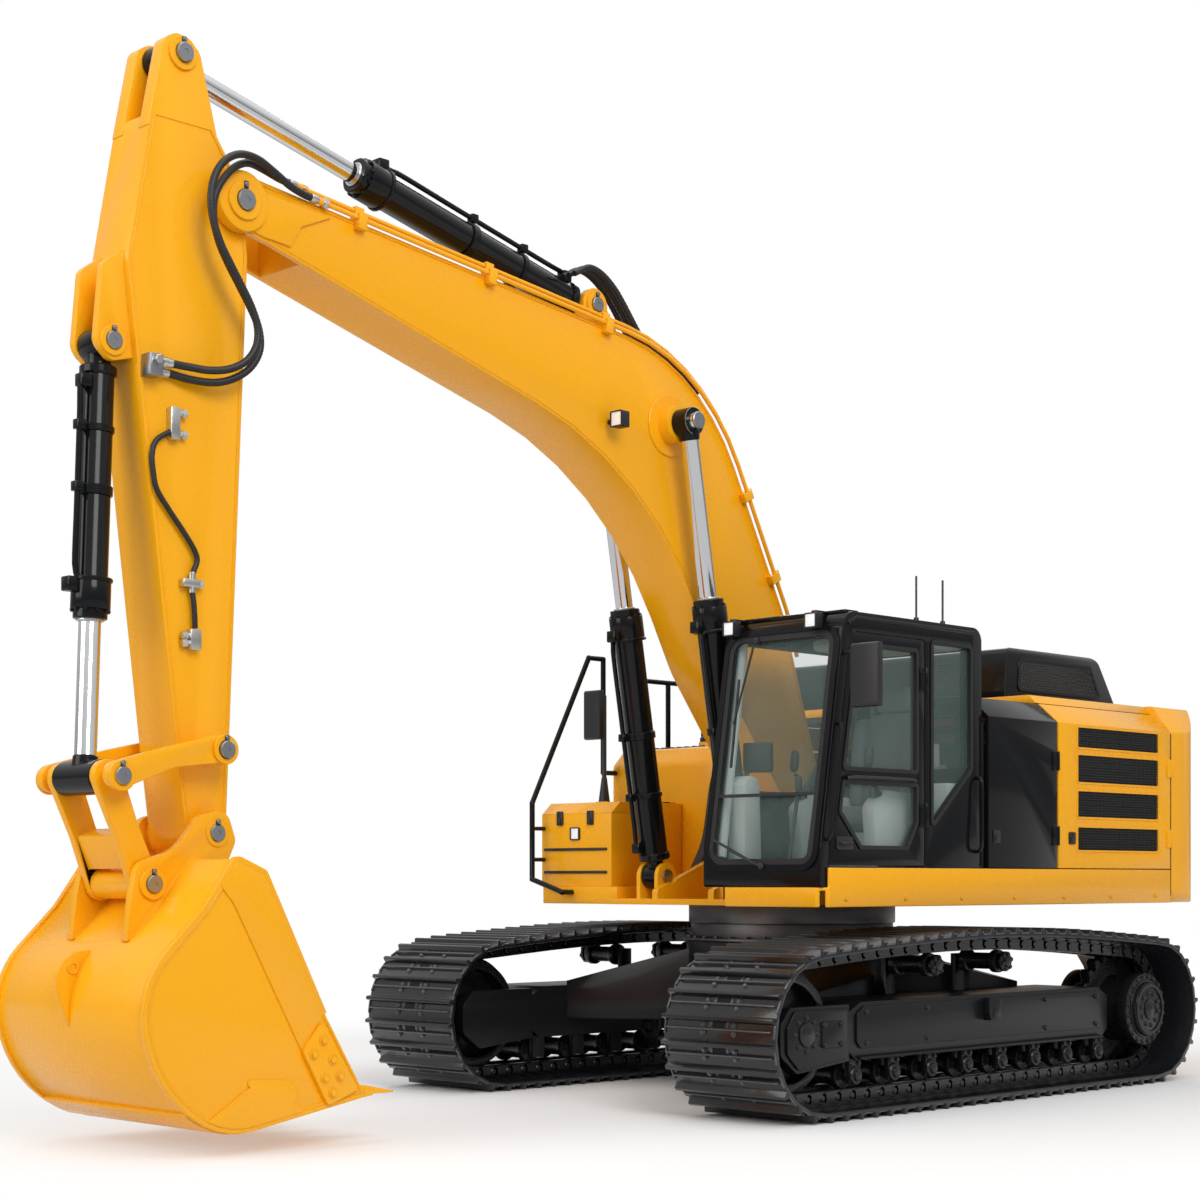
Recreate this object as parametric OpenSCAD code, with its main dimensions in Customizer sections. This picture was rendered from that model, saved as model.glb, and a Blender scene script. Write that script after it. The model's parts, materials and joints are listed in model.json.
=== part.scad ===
// Crawler excavator, built as separate pieces on real joints.
// X points forward, Y to the machine's left and Z up. The origin is on the ground, under the swing axis.

/* [Tracks] */
// Distance between the centre lines of the two tracks
gauge = 2740; // [2600:10:3000]
// Width of a track shoe
shoe_w = 850; // [700:10:900]
// Distance from idler axle to sprocket axle
wheelbase = 3720; // [3600:10:4000]
// Radius of the end turns, out to the tips of the bars
track_r = 510; // [490:5:560]
// Shoes in one loop
shoe_count = 72; // [60:1:84]
// Thickness of a shoe's plate
shoe_t = 22; // [16:1:28]
// Height of a shoe's bar above its plate
bar_h = 38; // [20:1:45]
// Height of the chain's rails, from the shoes inwards
rail_h = 90; // [70:1:100]
// Rise of the top run over the carrier rollers
top_rise = 90; // [40:5:110]
// Bottom rollers on each side
roller_count = 8; // [6:1:9]
// Radius of a bottom roller
roller_r = 85; // [70:1:95]
// Width of a track frame
frame_w = 500; // [440:5:540]

/* [Upper works] */
// Half of the width over the skirts
half_w = 1495; // [1470:5:1550]
// Height of the upper works' underside
deck_z = 1250; // [1230:5:1300]
// Height of the deck's floor above its underside
deck_h = 120; // [100:5:140]
// Height of the side skirts
skirt_h = 240; // [200:5:280]
// Front of the cab's deck
deck_front = 1520; // [1480:5:1560]
// Front of the counterweight
cw_front = -2510; // [-2600:5:-2480]
// Depth of the counterweight
cw_len = 640; // [560:5:760]
// Height of the counterweight's top
house_top = 2690; // [2640:5:2760]
// Height where the house's slanted shoulder starts
shoulder_z = 2490; // [2440:5:2540]
// Width of the slanted shoulder
shoulder_w = 155; // [120:5:190]
// Thickness of a house door's rim
door_t = 30; // [25:1:40]
// Thickness of sheet skins
skin = 8; // [6:1:12]

/* [Cab] */
// Height of the cab's roof
cab_top = 3060; // [3000:5:3150]
// Back of the cab
cab_back = -160; // [-200:5:-120]
// Inner side of the cab, beside the boom
cab_in = 530; // [510:5:560]
// Lean of the windscreen, from foot to roof
cab_lean = 240; // [180:5:280]
// Thickness of the cab's walls and pillars
cab_wall = 55; // [45:1:65]
// Rear edge of the cab door, its hinge line
door_back = 465; // [420:5:520]
// Thickness of the glass
glass_t = 8; // [6:1:10]

/* [Boom and stick] */
// Boom foot pin, forward of the swing axis
foot_x = 50; // [0:5:100]
// Boom foot pin, above the ground
foot_z = 1900; // [1880:5:1940]
// Boom nose pin, forward of the foot pin
boom_reach = 4825; // [4700:5:4950]
// Boom nose pin, above the foot pin
boom_rise = 3145; // [3050:5:3250]
// Width of the boom
boom_w = 420; // [400:2:440]
// Thickness of the boom's and stick's side plates
web_t = 14; // [10:1:20]
// Thickness of the boom's and stick's top and bottom plates
flange_t = 18; // [12:1:24]
// Drop from the nose pin to the bucket pin
stick_drop = 3383; // [3300:1:3450]
// Width of the stick
stick_w = 340; // [320:2:350]
// Sideways distance of each boom cylinder from the middle
lift_y = 372; // [364:1:380]
// Bore of the boom cylinders' barrels, outside
lift_d = 190; // [170:2:200]
// Outside diameter of the stick cylinder's barrel
crowd_d = 200; // [180:2:210]
// Outside diameter of the bucket cylinder's barrel
curl_d = 170; // [150:2:180]
// Diameter of the cylinders' rods
rod_d = 115; // [100:1:125]
// Diameter of the arm's main pins
pin_d = 110; // [90:1:120]

/* [Bucket] */
// Width of the bucket
bucket_w = 1400; // [1200:10:1500]
// Thickness of the bucket's shell
shell_t = 22; // [16:1:30]
// Teeth on the bucket's lip
tooth_count = 5; // [4:1:6]

/* [Hidden] */
$fn = 48;
// Seating gap between pieces, and running gap between moving pieces
seat = 0.3;
run = 5;

// Track loop
track_y = gauge / 2;
link_r = track_r - bar_h - shoe_t;
rail_r = link_r - rail_h;
rail_in = 95;
rail_w = 45;
loop_len = 2 * wheelbase + 2 * PI * link_r;
// Share of the rails' radius that clears their straight links on the end turns
chord_share = cos(loop_len / shoe_count / link_r * 90 / PI);
frame_in = track_y - frame_w / 2;
frame_out = track_y + frame_w / 2;
frame_half = wheelbase / 2 - 420;
frame_z0 = track_r - 180;
frame_z1 = track_r + 170;
roller_z = track_r - rail_r + roller_r + 2 * seat;
roller_half = 195;
carrier_r = 75;
carrier_x = [456, -309];
hub_r = 230;
idler_pin_r = 55;
sprocket_teeth = 21;

// Slew ring and car body
ring_r = 700;
ring_in = 560;
ring_z0 = 1000;
ring_mid = deck_z - 130;

// Upper works
deck_top = deck_z + deck_h;
skirt_top = deck_z + skirt_h;
spine_w = 1400;
house_front = cab_back - 10;
door_split = -1030;
pump_front = -900;
door_gap = 6;
rim = 60;
house_w = half_w - door_t - seat;
bay_y = 360;
tower_y = boom_w / 2 + 15;
tower_t = 50;

// Pins of the arm, as [x, z]
foot = [foot_x, foot_z];
nose = foot + [boom_reach, boom_rise];
lift_base = [980, 1440];
lift_rod = foot + [1440, 2435];
crowd_base = foot + [2030, 3120];
crowd_rod = nose + [345, 715];
curl_base = nose + [745, -855];
bucket_pin = nose + [200, -stick_drop];
idler_pin = bucket_pin + [-10, 438];
link_top = bucket_pin + [631, 280];
bucket_link = bucket_pin + [406, -267];

// Side layers at the stick's tip, from the middle outwards
eye_half = 70;
link_t = 50;
link_in = stick_w / 2 + run;
link_out = link_in + link_t;
ear_t = 50;
ear_in = link_out + run;
idler_t = 50;
idler_in = ear_in + ear_t + run;

// Outline helpers

function unit(v) = v / norm(v);
function left_of(v) = [-v[1], v[0]];
function xz(p) = [p[0], p[1]];
function at(p, dx, dz, r = 0) = [p[0] + dx, p[1] + dz, r];

// Points of an arc of radius r that rounds the corner b between a and c
function corner(a, b, c, r) =
  let (
    u = unit(a - b),
    v = unit(c - b),
    half = acos(u * v) / 2,
    mid = b + unit(u + v) * r / sin(half),
    s = b + u * r / tan(half) - mid,
    e = b + v * r / tan(half) - mid,
    a0 = atan2(s[1], s[0]),
    d = atan2(s[0] * e[1] - s[1] * e[0], s * e),
    n = max(2, ceil(abs(d) / 9))
  )
  [for (i = [0:n]) mid + r * [cos(a0 + d * i / n), sin(a0 + d * i / n)]];

// Outline through corners [x, z, radius]
function rounded(list) =
  let (n = len(list))
  [for (i = [0:n - 1])
    let (
      b = list[i],
      a = list[(i + n - 1) % n],
      c = list[(i + 1) % n]
    )
    each (b[2] > 0 ? corner(xz(a), xz(b), xz(c), b[2]) : [xz(b)])];

// Corner list moved inwards by d, for a list that runs counter-clockwise
function inset(list, d) =
  let (n = len(list))
  [for (i = [0:n - 1])
    let (
      a = xz(list[(i + n - 1) % n]),
      b = xz(list[i]),
      c = xz(list[(i + 1) % n]),
      u = unit(b - a),
      v = unit(c - b),
      m = left_of(u),
      k = left_of(v),
      p = b + (m + k) * d / (1 + m * k),
      convex = u[0] * v[1] - u[1] * v[0] > 0,
      r = list[i][2]
    )
    [p[0], p[1], r == 0 ? 0 : convex ? max(1, r - d) : r + d]];

// Solid of an X-Z outline from y0 to y1
module slab(points, y0, y1) {
  translate([0, y1, 0]) rotate([90, 0, 0]) linear_extrude(y1 - y0) polygon([for (p = points) xz(p)]);
}

// The same slab on both sides of the middle
module slab_pair(points, y0, y1) {
  slab(points, y0, y1);
  slab(points, -y1, -y0);
}

// Solid of a Y-Z outline from x0 to x1
module rib(points, x0, x1) {
  translate([x0, 0, 0]) rotate([90, 0, 90]) linear_extrude(x1 - x0) polygon(points);
}

module box(x0, x1, y0, y1, z0, z1) {
  translate([x0, y0, z0]) cube([x1 - x0, y1 - y0, z1 - z0]);
}

// Cross pin at the X-Z point p, from y0 to y1
module peg(p, r, y0, y1) {
  translate([p[0], y1, p[1]]) rotate([90, 0, 0]) cylinder(r = r, h = y1 - y0);
}

module peg_pair(p, r, y0, y1) {
  peg(p, r, y0, y1);
  peg(p, r, -y1, -y0);
}

// Round bar between two points in space
module bar(p, q, d) {
  v = q - p;
  translate(p) rotate([0, acos(v[2] / norm(v)), atan2(v[1], v[0])]) cylinder(d = d, h = norm(v));
}

// Bent tube through points in space
module tube(points, d) {
  for (i = [0:len(points) - 2]) bar(points[i], points[i + 1], d);
  for (i = [1:len(points) - 2]) translate(points[i]) sphere(d = d * 1.04);
}

// Smooth tube of eight sides through points in space, for pipes and hoses that never run along Y
module swept(points, d) {
  n = len(points);
  sides = 8;
  rings = [for (i = [0:n - 1])
    let (
      t = unit(points[min(i + 1, n - 1)] - points[max(i - 1, 0)]),
      a = unit([0, 1, 0] - t[1] * t),
      b = cross(t, a)
    )
    for (k = [0:sides - 1]) points[i] + d / 2 * (a * cos(k * 360 / sides) + b * sin(k * 360 / sides))];
  walls = [for (i = [0:n - 2]) for (k = [0:sides - 1])
    let (
      j = i * sides + k,
      m = i * sides + (k + 1) % sides
    )
    [j, j + sides, m + sides, m]];
  ends = [[for (k = [0:sides - 1]) k], [for (k = [sides - 1:-1:0]) (n - 1) * sides + k]];
  polyhedron(rings, concat(walls, ends));
}

// Local X runs from p towards q
module along(p, q, y = 0) {
  translate([p[0], y, p[1]]) rotate([0, -atan2(q[1] - p[1], q[0] - p[0]), 0]) children();
}

module both_sides() {
  children();
  mirror([0, 1, 0]) children();
}

// Tracks

// Point of the loop at a share s of its length, moved outwards by off
function loop_point(s, off = 0) =
  let (
    d = s * loop_len,
    turn = PI * link_r,
    r = link_r + off,
    w = wheelbase,
    deg = 180 / turn
  )
  d < w ? [d - w / 2, track_r - r] :
  d < w + turn ? let (a = (d - w) * deg - 90) [w / 2 + r * cos(a), track_r + r * sin(a)] :
  d < 2 * w + turn ?
    let (u = (d - w - turn) / w) [w / 2 - u * w, track_r + r + top_rise * sin(180 * u)] :
    let (a = (d - 2 * w - turn) * deg + 90) [r * cos(a) - w / 2, track_r + r * sin(a)];

// Outer outline of shoe k: plate, then the bar near its trailing edge
function shoe_outline(k) =
  let (
    p = loop_point(k / shoe_count),
    q = loop_point((k + 1) / shoe_count % 1),
    u = unit(q - p),
    out = [u[1], -u[0]],
    pitch = norm(q - p)
  )
  [for (c = [[0.03, 0], [0.6, 0], [0.66, 1], [0.82, 1], [0.88, 0]])
    p + u * pitch * c[0] + out * (shoe_t + bar_h * c[1])];

module track(y) {
  plates = [for (k = [0:shoe_count - 1]) each shoe_outline(k)];
  face = [for (k = [0:shoe_count - 1]) loop_point(k / shoe_count)];
  root = [for (k = [0:shoe_count - 1]) loop_point(k / shoe_count, shoe_t / 2)];
  rail = [for (k = [0:shoe_count - 1]) loop_point(k / shoe_count, -rail_h)];
  module ring(outer, inner, y0, y1) {
    slab_ring = concat(outer, inner);
    n = len(outer);
    translate([0, y1, 0]) rotate([90, 0, 0]) linear_extrude(y1 - y0)
      polygon(slab_ring, [[for (i = [0:n - 1]) i], [for (i = [0:len(inner) - 1]) n + i]]);
  }
  ring(plates, face, y - shoe_w / 2, y + shoe_w / 2);
  for (side = [-1, 1]) {
    mid = y + side * (rail_in + rail_w / 2);
    ring(root, rail, mid - rail_w / 2, mid + rail_w / 2);
  }
}

module track_left() {
  color("#26272a") track(track_y);
}

module track_right() {
  color("#26272a") track(-track_y);
}

function roller_x(i) = (i - (roller_count - 1) / 2) * 2 * (frame_half - 90) / (roller_count - 1);

// Side arm that carries the idler, with its slanted nose
function idler_arm() =
  let (x = wheelbase / 2)
  rounded([[frame_half - 10, track_r - 180, 0], [x + 60, track_r - 230, 40], [x + 210, track_r - 120, 60],
    [x + 210, track_r + 60, 40], [x + 120, track_r + 160, 30], [frame_half - 10, track_r + 160, 0]]);

module track_frame() {
  wall = 20;
  lug = 55;
  difference() {
    slab(rounded([[-frame_half, frame_z0 + 60, 0], [-frame_half + 80, frame_z0, 20],
      [frame_half - 80, frame_z0, 20], [frame_half, frame_z0 + 60, 0], [frame_half, frame_z1 - 60, 0],
      [frame_half - 120, frame_z1, 20], [-frame_half + 120, frame_z1, 20], [-frame_half, frame_z1 - 60, 0]]),
      frame_in, frame_out);
    box(-frame_half + 150, frame_half - 150, frame_in + wall, frame_out - wall, frame_z0 + wall, frame_z1 - wall);
  }
  slab(idler_arm(), frame_out - 80, frame_out);
  slab(idler_arm(), frame_in, frame_in + 80);
  // Plate that carries the final drive
  box(-wheelbase / 2, -frame_half + 10, frame_in, frame_in + 80, track_r - 150, track_r + 150);
  peg([-wheelbase / 2, track_r], 262, frame_in, frame_in + 80);
  // Hangers of the bottom rollers
  for (i = [0:roller_count - 1]) {
    for (side = [-1, 1]) {
      y = track_y + side * (roller_half + 17.5 + seat);
      box(roller_x(i) - lug, roller_x(i) + lug, y - 17.5, y + 17.5, roller_z - 45, frame_z0 + 10);
    }
  }
  // Posts of the carrier rollers
  for (x = carrier_x) {
    box(x - 50, x + 50, track_y - 215, track_y - 175, frame_z1 - 5, carrier_z(x) + 45);
  }
}

function carrier_z(x) =
  track_r + rail_r + top_rise * sin(180 * (wheelbase / 2 - x) / wheelbase) - carrier_r - 3 * seat;

module track_frames() {
  color("#2e3033") both_sides() track_frame();
}

// Roller along Y with flanged treads and a shaft of the given half length
module roller(p, y, r, shaft_in, shaft_out) {
  for (side = [-1, 1]) {
    m = y + side * (rail_in + rail_w / 2);
    peg(p, r, m - rail_w / 2 - 4, m + rail_w / 2 + 4);
  }
  peg(p, r * 0.72, y - rail_in, y + rail_in);
  peg(p, r * 0.4, y - shaft_in, y + shaft_out);
}

module track_rollers() {
  color("#1d1e20") both_sides() {
    for (i = [0:roller_count - 1]) roller([roller_x(i), roller_z], track_y, roller_r, roller_half, roller_half);
    for (x = carrier_x) roller([x, carrier_z(x)], track_y, carrier_r, 175 - seat, 170);
  }
}

module idlers() {
  p = [wheelbase / 2, track_r];
  color("#232427") both_sides() {
    difference() {
      union() {
        roller(p, track_y, rail_r * chord_share - seat, frame_w / 2 - 80 - seat, frame_w / 2 - 80 - seat);
        peg(p, rail_r + 22, track_y - rail_in + 3, track_y + rail_in - 3);
      }
      peg_ring(p, 140, 300, track_y + 40, track_y + 200);
      peg_ring(p, 140, 300, track_y - 200, track_y - 40);
    }
  }
}

// Ring along Y, for recesses
module peg_ring(p, r0, r1, y0, y1) {
  difference() {
    peg(p, r1, y0, y1);
    peg(p, r0, y0 - 1, y1 + 1);
  }
}

module drive_sprockets() {
  p = [-wheelbase / 2, track_r];
  tooth = 360 / sprocket_teeth;
  color("#232427") both_sides() {
    // Toothed ring
    slab([for (i = [0:sprocket_teeth - 1]) for (c = [[0.1, 0], [0.3, 1], [0.6, 1], [0.8, 0]])
      p + (rail_r - 10 + 50 * c[1]) * [cos((i + c[0]) * tooth), sin((i + c[0]) * tooth)]],
      track_y - 40, track_y + 40);
    // Final drive and its round cover
    peg(p, hub_r, frame_in + 80 + seat, frame_out);
    peg(p, hub_r + 22, frame_out - 30, frame_out + 50);
    peg(p, hub_r - 45, frame_out + 50, frame_out + 85);
  }
}

// Car body

leg_turn = 36;
leg_z0 = 450;
leg_angles = [90 - leg_turn, 90 + leg_turn, -90 - leg_turn, -90 + leg_turn];

module car_body() {
  far = frame_in / cos(leg_turn) + 400;
  top = ring_z0 - 20;
  color("#2a2b2e") {
    difference() {
      union() {
        translate([0, 0, 560]) cylinder(r = 730, h = ring_z0 - 560);
        intersection() {
          for (a = leg_angles) {
            rotate([0, 0, a]) slab([[450, 575], [900, leg_z0], [far, leg_z0], [far, 650], [570, top - 4],
              [450, top - 4]], -230, 230);
          }
          box(-3000, 3000, -frame_in, frame_in, 0, 2000);
        }
      }
      // The body is a welded box
      translate([0, 0, 590]) cylinder(r = 690, h = ring_z0 - 590 - 50);
      for (a = leg_angles) {
        rotate([0, 0, a]) slab([[700, 590], [1180, leg_z0 + 40], [1180, 690], [700, ring_z0 - 110]], -200, 200);
      }
    }
  }
}

module slew_ring_lower() {
  color("#3a3b3e") difference() {
    translate([0, 0, ring_z0]) cylinder(r = ring_r, h = ring_mid - ring_z0);
    translate([0, 0, ring_z0 - 1]) cylinder(r = ring_in, h = ring_mid - ring_z0 + 2);
  }
}

tie_t = 50;
tie_r = 70;
tie_x = 580;
tie_y = 800;
tie_drop = 75;

// Lugs under the car body's legs, with an eye along the machine for lashing it down
module tie_lugs() {
  color("#2a2b2e") for (sx = [-1, 1]) for (sy = [-1, 1]) {
    translate([sx * tie_x, sy * tie_y, leg_z0 - tie_drop]) difference() {
      union() {
        rotate([0, 90, 0]) cylinder(r = tie_r, h = tie_t, center = true);
        box(-tie_t / 2, tie_t / 2, -tie_r, tie_r, 0, tie_drop - seat);
      }
      rotate([0, 90, 0]) cylinder(r = tie_r / 2, h = 2 * tie_t, center = true);
    }
  }
}

// Upper works

module slew_ring_upper() {
  color("#3a3b3e") difference() {
    translate([0, 0, ring_mid + seat]) cylinder(r = ring_r + 15, h = deck_z - ring_mid - seat);
    translate([0, 0, ring_mid - 1]) cylinder(r = ring_in, h = deck_z - ring_mid + 2);
  }
}

lift_ear_in = 66;
lift_ear_t = 32;

module main_frame() {
  plate_t = 40;
  floor_z = deck_z + plate_t;
  front = lift_base[0] + 150;
  color("#f0a81e") difference() {
    union() {
      box(cw_front, front, -spine_w / 2, spine_w / 2, deck_z, floor_z);
      slab_pair(rounded([[front, floor_z - 5, 0], [front, floor_z + 60, 30], [foot[0] + 260, foot[1] - 240, 120],
        [foot[0] + 150, foot[1] + 150, 140], [foot[0] - 150, foot[1] + 150, 140], [foot[0] - 420, foot[1] - 250, 150],
        [foot[0] - 1000, floor_z + 60, 150], [cw_front + 60, floor_z + 60, 0], [cw_front + 60, floor_z - 5, 0]]),
        tower_y, tower_y + tower_t);
      // Ears of the boom cylinders
      for (side = [-1, 1]) for (k = [-1, 1]) {
        y = side * lift_y + k * (lift_ear_in + lift_ear_t / 2);
        peg(lift_base, 95, y - lift_ear_t / 2, y + lift_ear_t / 2);
        box(lift_base[0] - 95, lift_base[0] + 95, y - lift_ear_t / 2, y + lift_ear_t / 2, floor_z - 5, lift_base[1]);
      }
    }
    peg(foot, pin_d / 2 + seat, -400, 400);
    peg(lift_base, pin_d * 0.42 + seat, -700, 700);
  }
}

module upper_pins() {
  color("#8c8f93") {
    peg(foot, pin_d / 2, -tower_y - tower_t - 20, tower_y + tower_t + 20);
    for (side = [-1, 1]) {
      peg(lift_base, pin_d * 0.42, side * lift_y - 110, side * lift_y + 110);
    }
  }
}

// One side's deck: floor plate, side skirt and end skirts, open underneath
module deck(front, y0, y1) {
  floor_t = 20;
  plan = [[cw_front, y0], [front - 60, y0], [front, y0 + 10], [front, y1 - 60], [front - 60, y1], [cw_front, y1]];
  difference() {
    union() {
      translate([0, 0, deck_z]) linear_extrude(deck_h) polygon(plan);
      box(cw_front, front - 60, y1 - 20, y1, deck_z, skirt_top);
    }
    box(cw_front + 20, front - 20, y0 + 20, y1 - 20, deck_z - 1, deck_top - floor_t);
  }
}

toolbox_front = 1000;

module decks() {
  color("#f6b223") {
    deck(deck_front, spine_w / 2 + seat, half_w);
    mirror([0, 1, 0]) deck(toolbox_front + 20, spine_w / 2 + seat, half_w);
  }
}

// Cab: side outline as corners [x, z, radius], counter-clockwise
cab_z0 = deck_top + seat;
cab_out = half_w - 25;
cab_corners = [[cab_back, cab_z0, 0], [deck_front - 5, cab_z0, 20], [deck_front - 5, cab_z0 + 240, 400],
  [deck_front - cab_lean, cab_top, 110], [cab_back, cab_top, 90]];
sill_z = skirt_top + 30;
belt_z = 2070;
head_z = cab_top - 120;

// X of the cab's front face at height z
function front_x(z) =
  let (z0 = cab_z0 + 240)
  z < z0 ? deck_front - 5 : deck_front - 5 - (cab_lean - 5) * (z - z0) / (cab_top - z0);

pillar = 75;

// Openings of the cab, as corner lists
function door_hole() =
  [[door_back, skirt_top + 8, 20], [front_x(skirt_top) - pillar, skirt_top + 8, 20],
    [front_x(1700) - pillar, 1700, 100], [front_x(head_z) - pillar, head_z, 90], [door_back, head_z, 30]];

function quarter_hole() =
  [[door_back - 70, belt_z - 330, 25], [door_back - 70, head_z, 30], [cab_back + 110, head_z, 40],
    [cab_back + 110, belt_z + 60, 60]];

function side_hole() =
  [[cab_back + 120, belt_z - 100, 60], [front_x(belt_z) - 110, belt_z - 100, 60],
    [front_x(head_z) - 110, head_z, 80], [cab_back + 120, head_z, 60]];

screen_y0 = cab_in + 60;
screen_y1 = cab_out - 60;

// Slanted slot through the front wall, between heights z0 and z1
module screen_slot(grow, back, ahead) {
  slab([[front_x(sill_z) - back, sill_z - grow], [front_x(sill_z) + ahead, sill_z - grow],
    [front_x(1610) + ahead, 1610], [front_x(head_z) + ahead, head_z + grow],
    [front_x(head_z) - back, head_z + grow], [front_x(1610) - back, 1610]],
    screen_y0 - grow, screen_y1 + grow);
}

module cab_shell() {
  color("#1b1c1e") difference() {
    slab(rounded(cab_corners), cab_in, cab_out);
    slab(rounded(inset(cab_corners, cab_wall)), cab_in + cab_wall, cab_out - cab_wall);
    screen_slot(0, 200, 100);
    slab(rounded(door_hole()), cab_out - 100, cab_out + 10);
    slab(rounded(quarter_hole()), cab_out - 100, cab_out + 10);
    slab(rounded(side_hole()), cab_in - 10, cab_in + 100);
    // Rear window
    box(cab_back - 10, cab_back + 100, cab_in + 130, cab_out - 130, belt_z + 80, head_z - 20);
  }
}

module cab_glass() {
  mid = cab_wall / 2;
  color("#7fa69c", 0.5) {
    screen_slot(-seat, 20 + glass_t, -20);
    slab(rounded(inset(quarter_hole(), seat)), cab_out - mid, cab_out - mid + glass_t);
    slab(rounded(inset(side_hole(), seat)), cab_in + mid, cab_in + mid + glass_t);
    box(cab_back + mid, cab_back + mid + glass_t, cab_in + 130 + seat, cab_out - 130 - seat,
      belt_z + 80 + seat, head_z - 20 - seat);
  }
}

function door_corners() = inset(door_hole(), door_gap);

function door_top_window() =
  [[door_back + 75, belt_z + 20, 25], [front_x(belt_z) - pillar - 65, belt_z + 20, 25],
    [front_x(head_z) - pillar - 65, head_z - 70, 70], [door_back + 75, head_z - 70, 25]];

function door_low_window() =
  [[door_back + 180, sill_z + 90, 25], [front_x(1700) - pillar - 300, sill_z + 90, 25],
    [front_x(1700) - pillar - 90, 1830, 25], [front_x(belt_z) - pillar - 65, belt_z - 50, 25],
    [door_back + 75, belt_z - 50, 25], [door_back + 75, 1780, 25]];

module cab_door() {
  color("#1b1c1e") {
    difference() {
      slab(rounded(door_corners()), cab_out - cab_wall, cab_out);
      slab(rounded(door_top_window()), cab_out - 100, cab_out + 10);
      slab(rounded(door_low_window()), cab_out - 100, cab_out + 10);
    }
    // Hinges
    for (z = [skirt_top + 260, head_z - 330]) {
      translate([door_back, cab_out + 13 + seat, z]) cylinder(d = 26, h = 150);
      box(door_back, door_back + 60, cab_out - 1, cab_out + 13, z, z + 150);
    }
  }
}

module cab_door_glass() {
  mid = cab_wall / 2;
  color("#7fa69c", 0.5) {
    slab(rounded(inset(door_top_window(), seat)), cab_out - mid, cab_out - mid + glass_t);
    slab(rounded(inset(door_low_window(), seat)), cab_out - mid, cab_out - mid + glass_t);
  }
}

module cab_interior() {
  floor_z = cab_z0 + cab_wall;
  seat_y = (cab_in + cab_out) / 2;
  seat_x = 420;
  color("#3a3d40") {
    // Seat base, cushion, back and headrest
    box(seat_x - 220, seat_x + 230, seat_y - 200, seat_y + 200, floor_z, floor_z + 300);
    slab(rounded([[seat_x - 260, floor_z + 295, 30], [seat_x + 290, floor_z + 325, 50],
      [seat_x + 290, floor_z + 450, 50], [seat_x - 260, floor_z + 420, 30]]), seat_y - 250, seat_y + 250);
    slab(rounded([[seat_x - 270, floor_z + 400, 20], [seat_x - 130, floor_z + 400, 20],
      [seat_x - 210, floor_z + 1090, 50], [seat_x - 320, floor_z + 1090, 50]]), seat_y - 240, seat_y + 240);
    slab(rounded([[seat_x - 330, floor_z + 1080, 20], [seat_x - 220, floor_z + 1080, 20],
      [seat_x - 235, floor_z + 1270, 40], [seat_x - 325, floor_z + 1270, 40]]), seat_y - 130, seat_y + 130);
  }
  color("#6b7f7a") {
    // Side consoles with their levers
    for (side = [-1, 1]) {
      y = seat_y + side * ((cab_out - cab_in) / 2 - cab_wall - 115);
      slab(rounded([[seat_x - 200, floor_z, 20], [seat_x + 380, floor_z, 20], [seat_x + 420, floor_z + 480, 60],
        [seat_x + 300, floor_z + 560, 60], [seat_x - 200, floor_z + 520, 40]]), y - 48, y + 48);
      bar([seat_x + 330, y, floor_z + 530], [seat_x + 390, y, floor_z + 720], 36);
    }
    // Front console with the display, and two travel levers with pedals
    slab(rounded([[1150, floor_z, 20], [1350, floor_z, 20], [1345, floor_z + 620, 60], [1250, floor_z + 720, 60],
      [1200, floor_z + 600, 40]]), cab_in + cab_wall, cab_in + cab_wall + 150);
    for (k = [-1, 1]) {
      bar([1160, seat_y + k * 75, floor_z + 10], [1060, seat_y + k * 75, floor_z + 560], 30);
      box(1090, 1260, seat_y + k * 95 - 60, seat_y + k * 95 + 60, floor_z, floor_z + 60);
    }
  }
}

lamp = 95;
lamp_out = 92;
lamp_drop = 7;

// Lamp hung in front of the roof's edge, under a bracket that lies on the roof
module roof_lamp(x, y, z) {
  box(x - 60, x, y - lamp / 2, y + lamp / 2, z - lamp_drop - lamp, z - lamp_drop);
  box(x - 47, x - 27, y - 20, y + 20, z - lamp_drop - 1, z + 5);
  box(x - 200 - lamp_out, x - 27, y - 20, y + 20, z, z + 10);
}

module roof_lamps() {
  x = deck_front - cab_lean + lamp_out;
  color("#202124") {
    roof_lamp(x, cab_in + 90, cab_top + seat);
    roof_lamp(x, cab_out - 190, cab_top + seat);
    // Antennas
    for (k = [0, 1]) {
      translate([240 - 290 * k, cab_out - 230, cab_top + seat]) cylinder(d = 34, h = 60);
      translate([240 - 290 * k, cab_out - 230, cab_top + seat]) cylinder(d = 14, h = 330);
    }
  }
}

// House

function house_outline(w) =
  [[-w, skirt_top], [w, skirt_top], [w, shoulder_z - 50], [w - shoulder_w - 30, hood_z],
    [shoulder_w + 30 - w, hood_z], [-w, shoulder_z - 50]];

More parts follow.
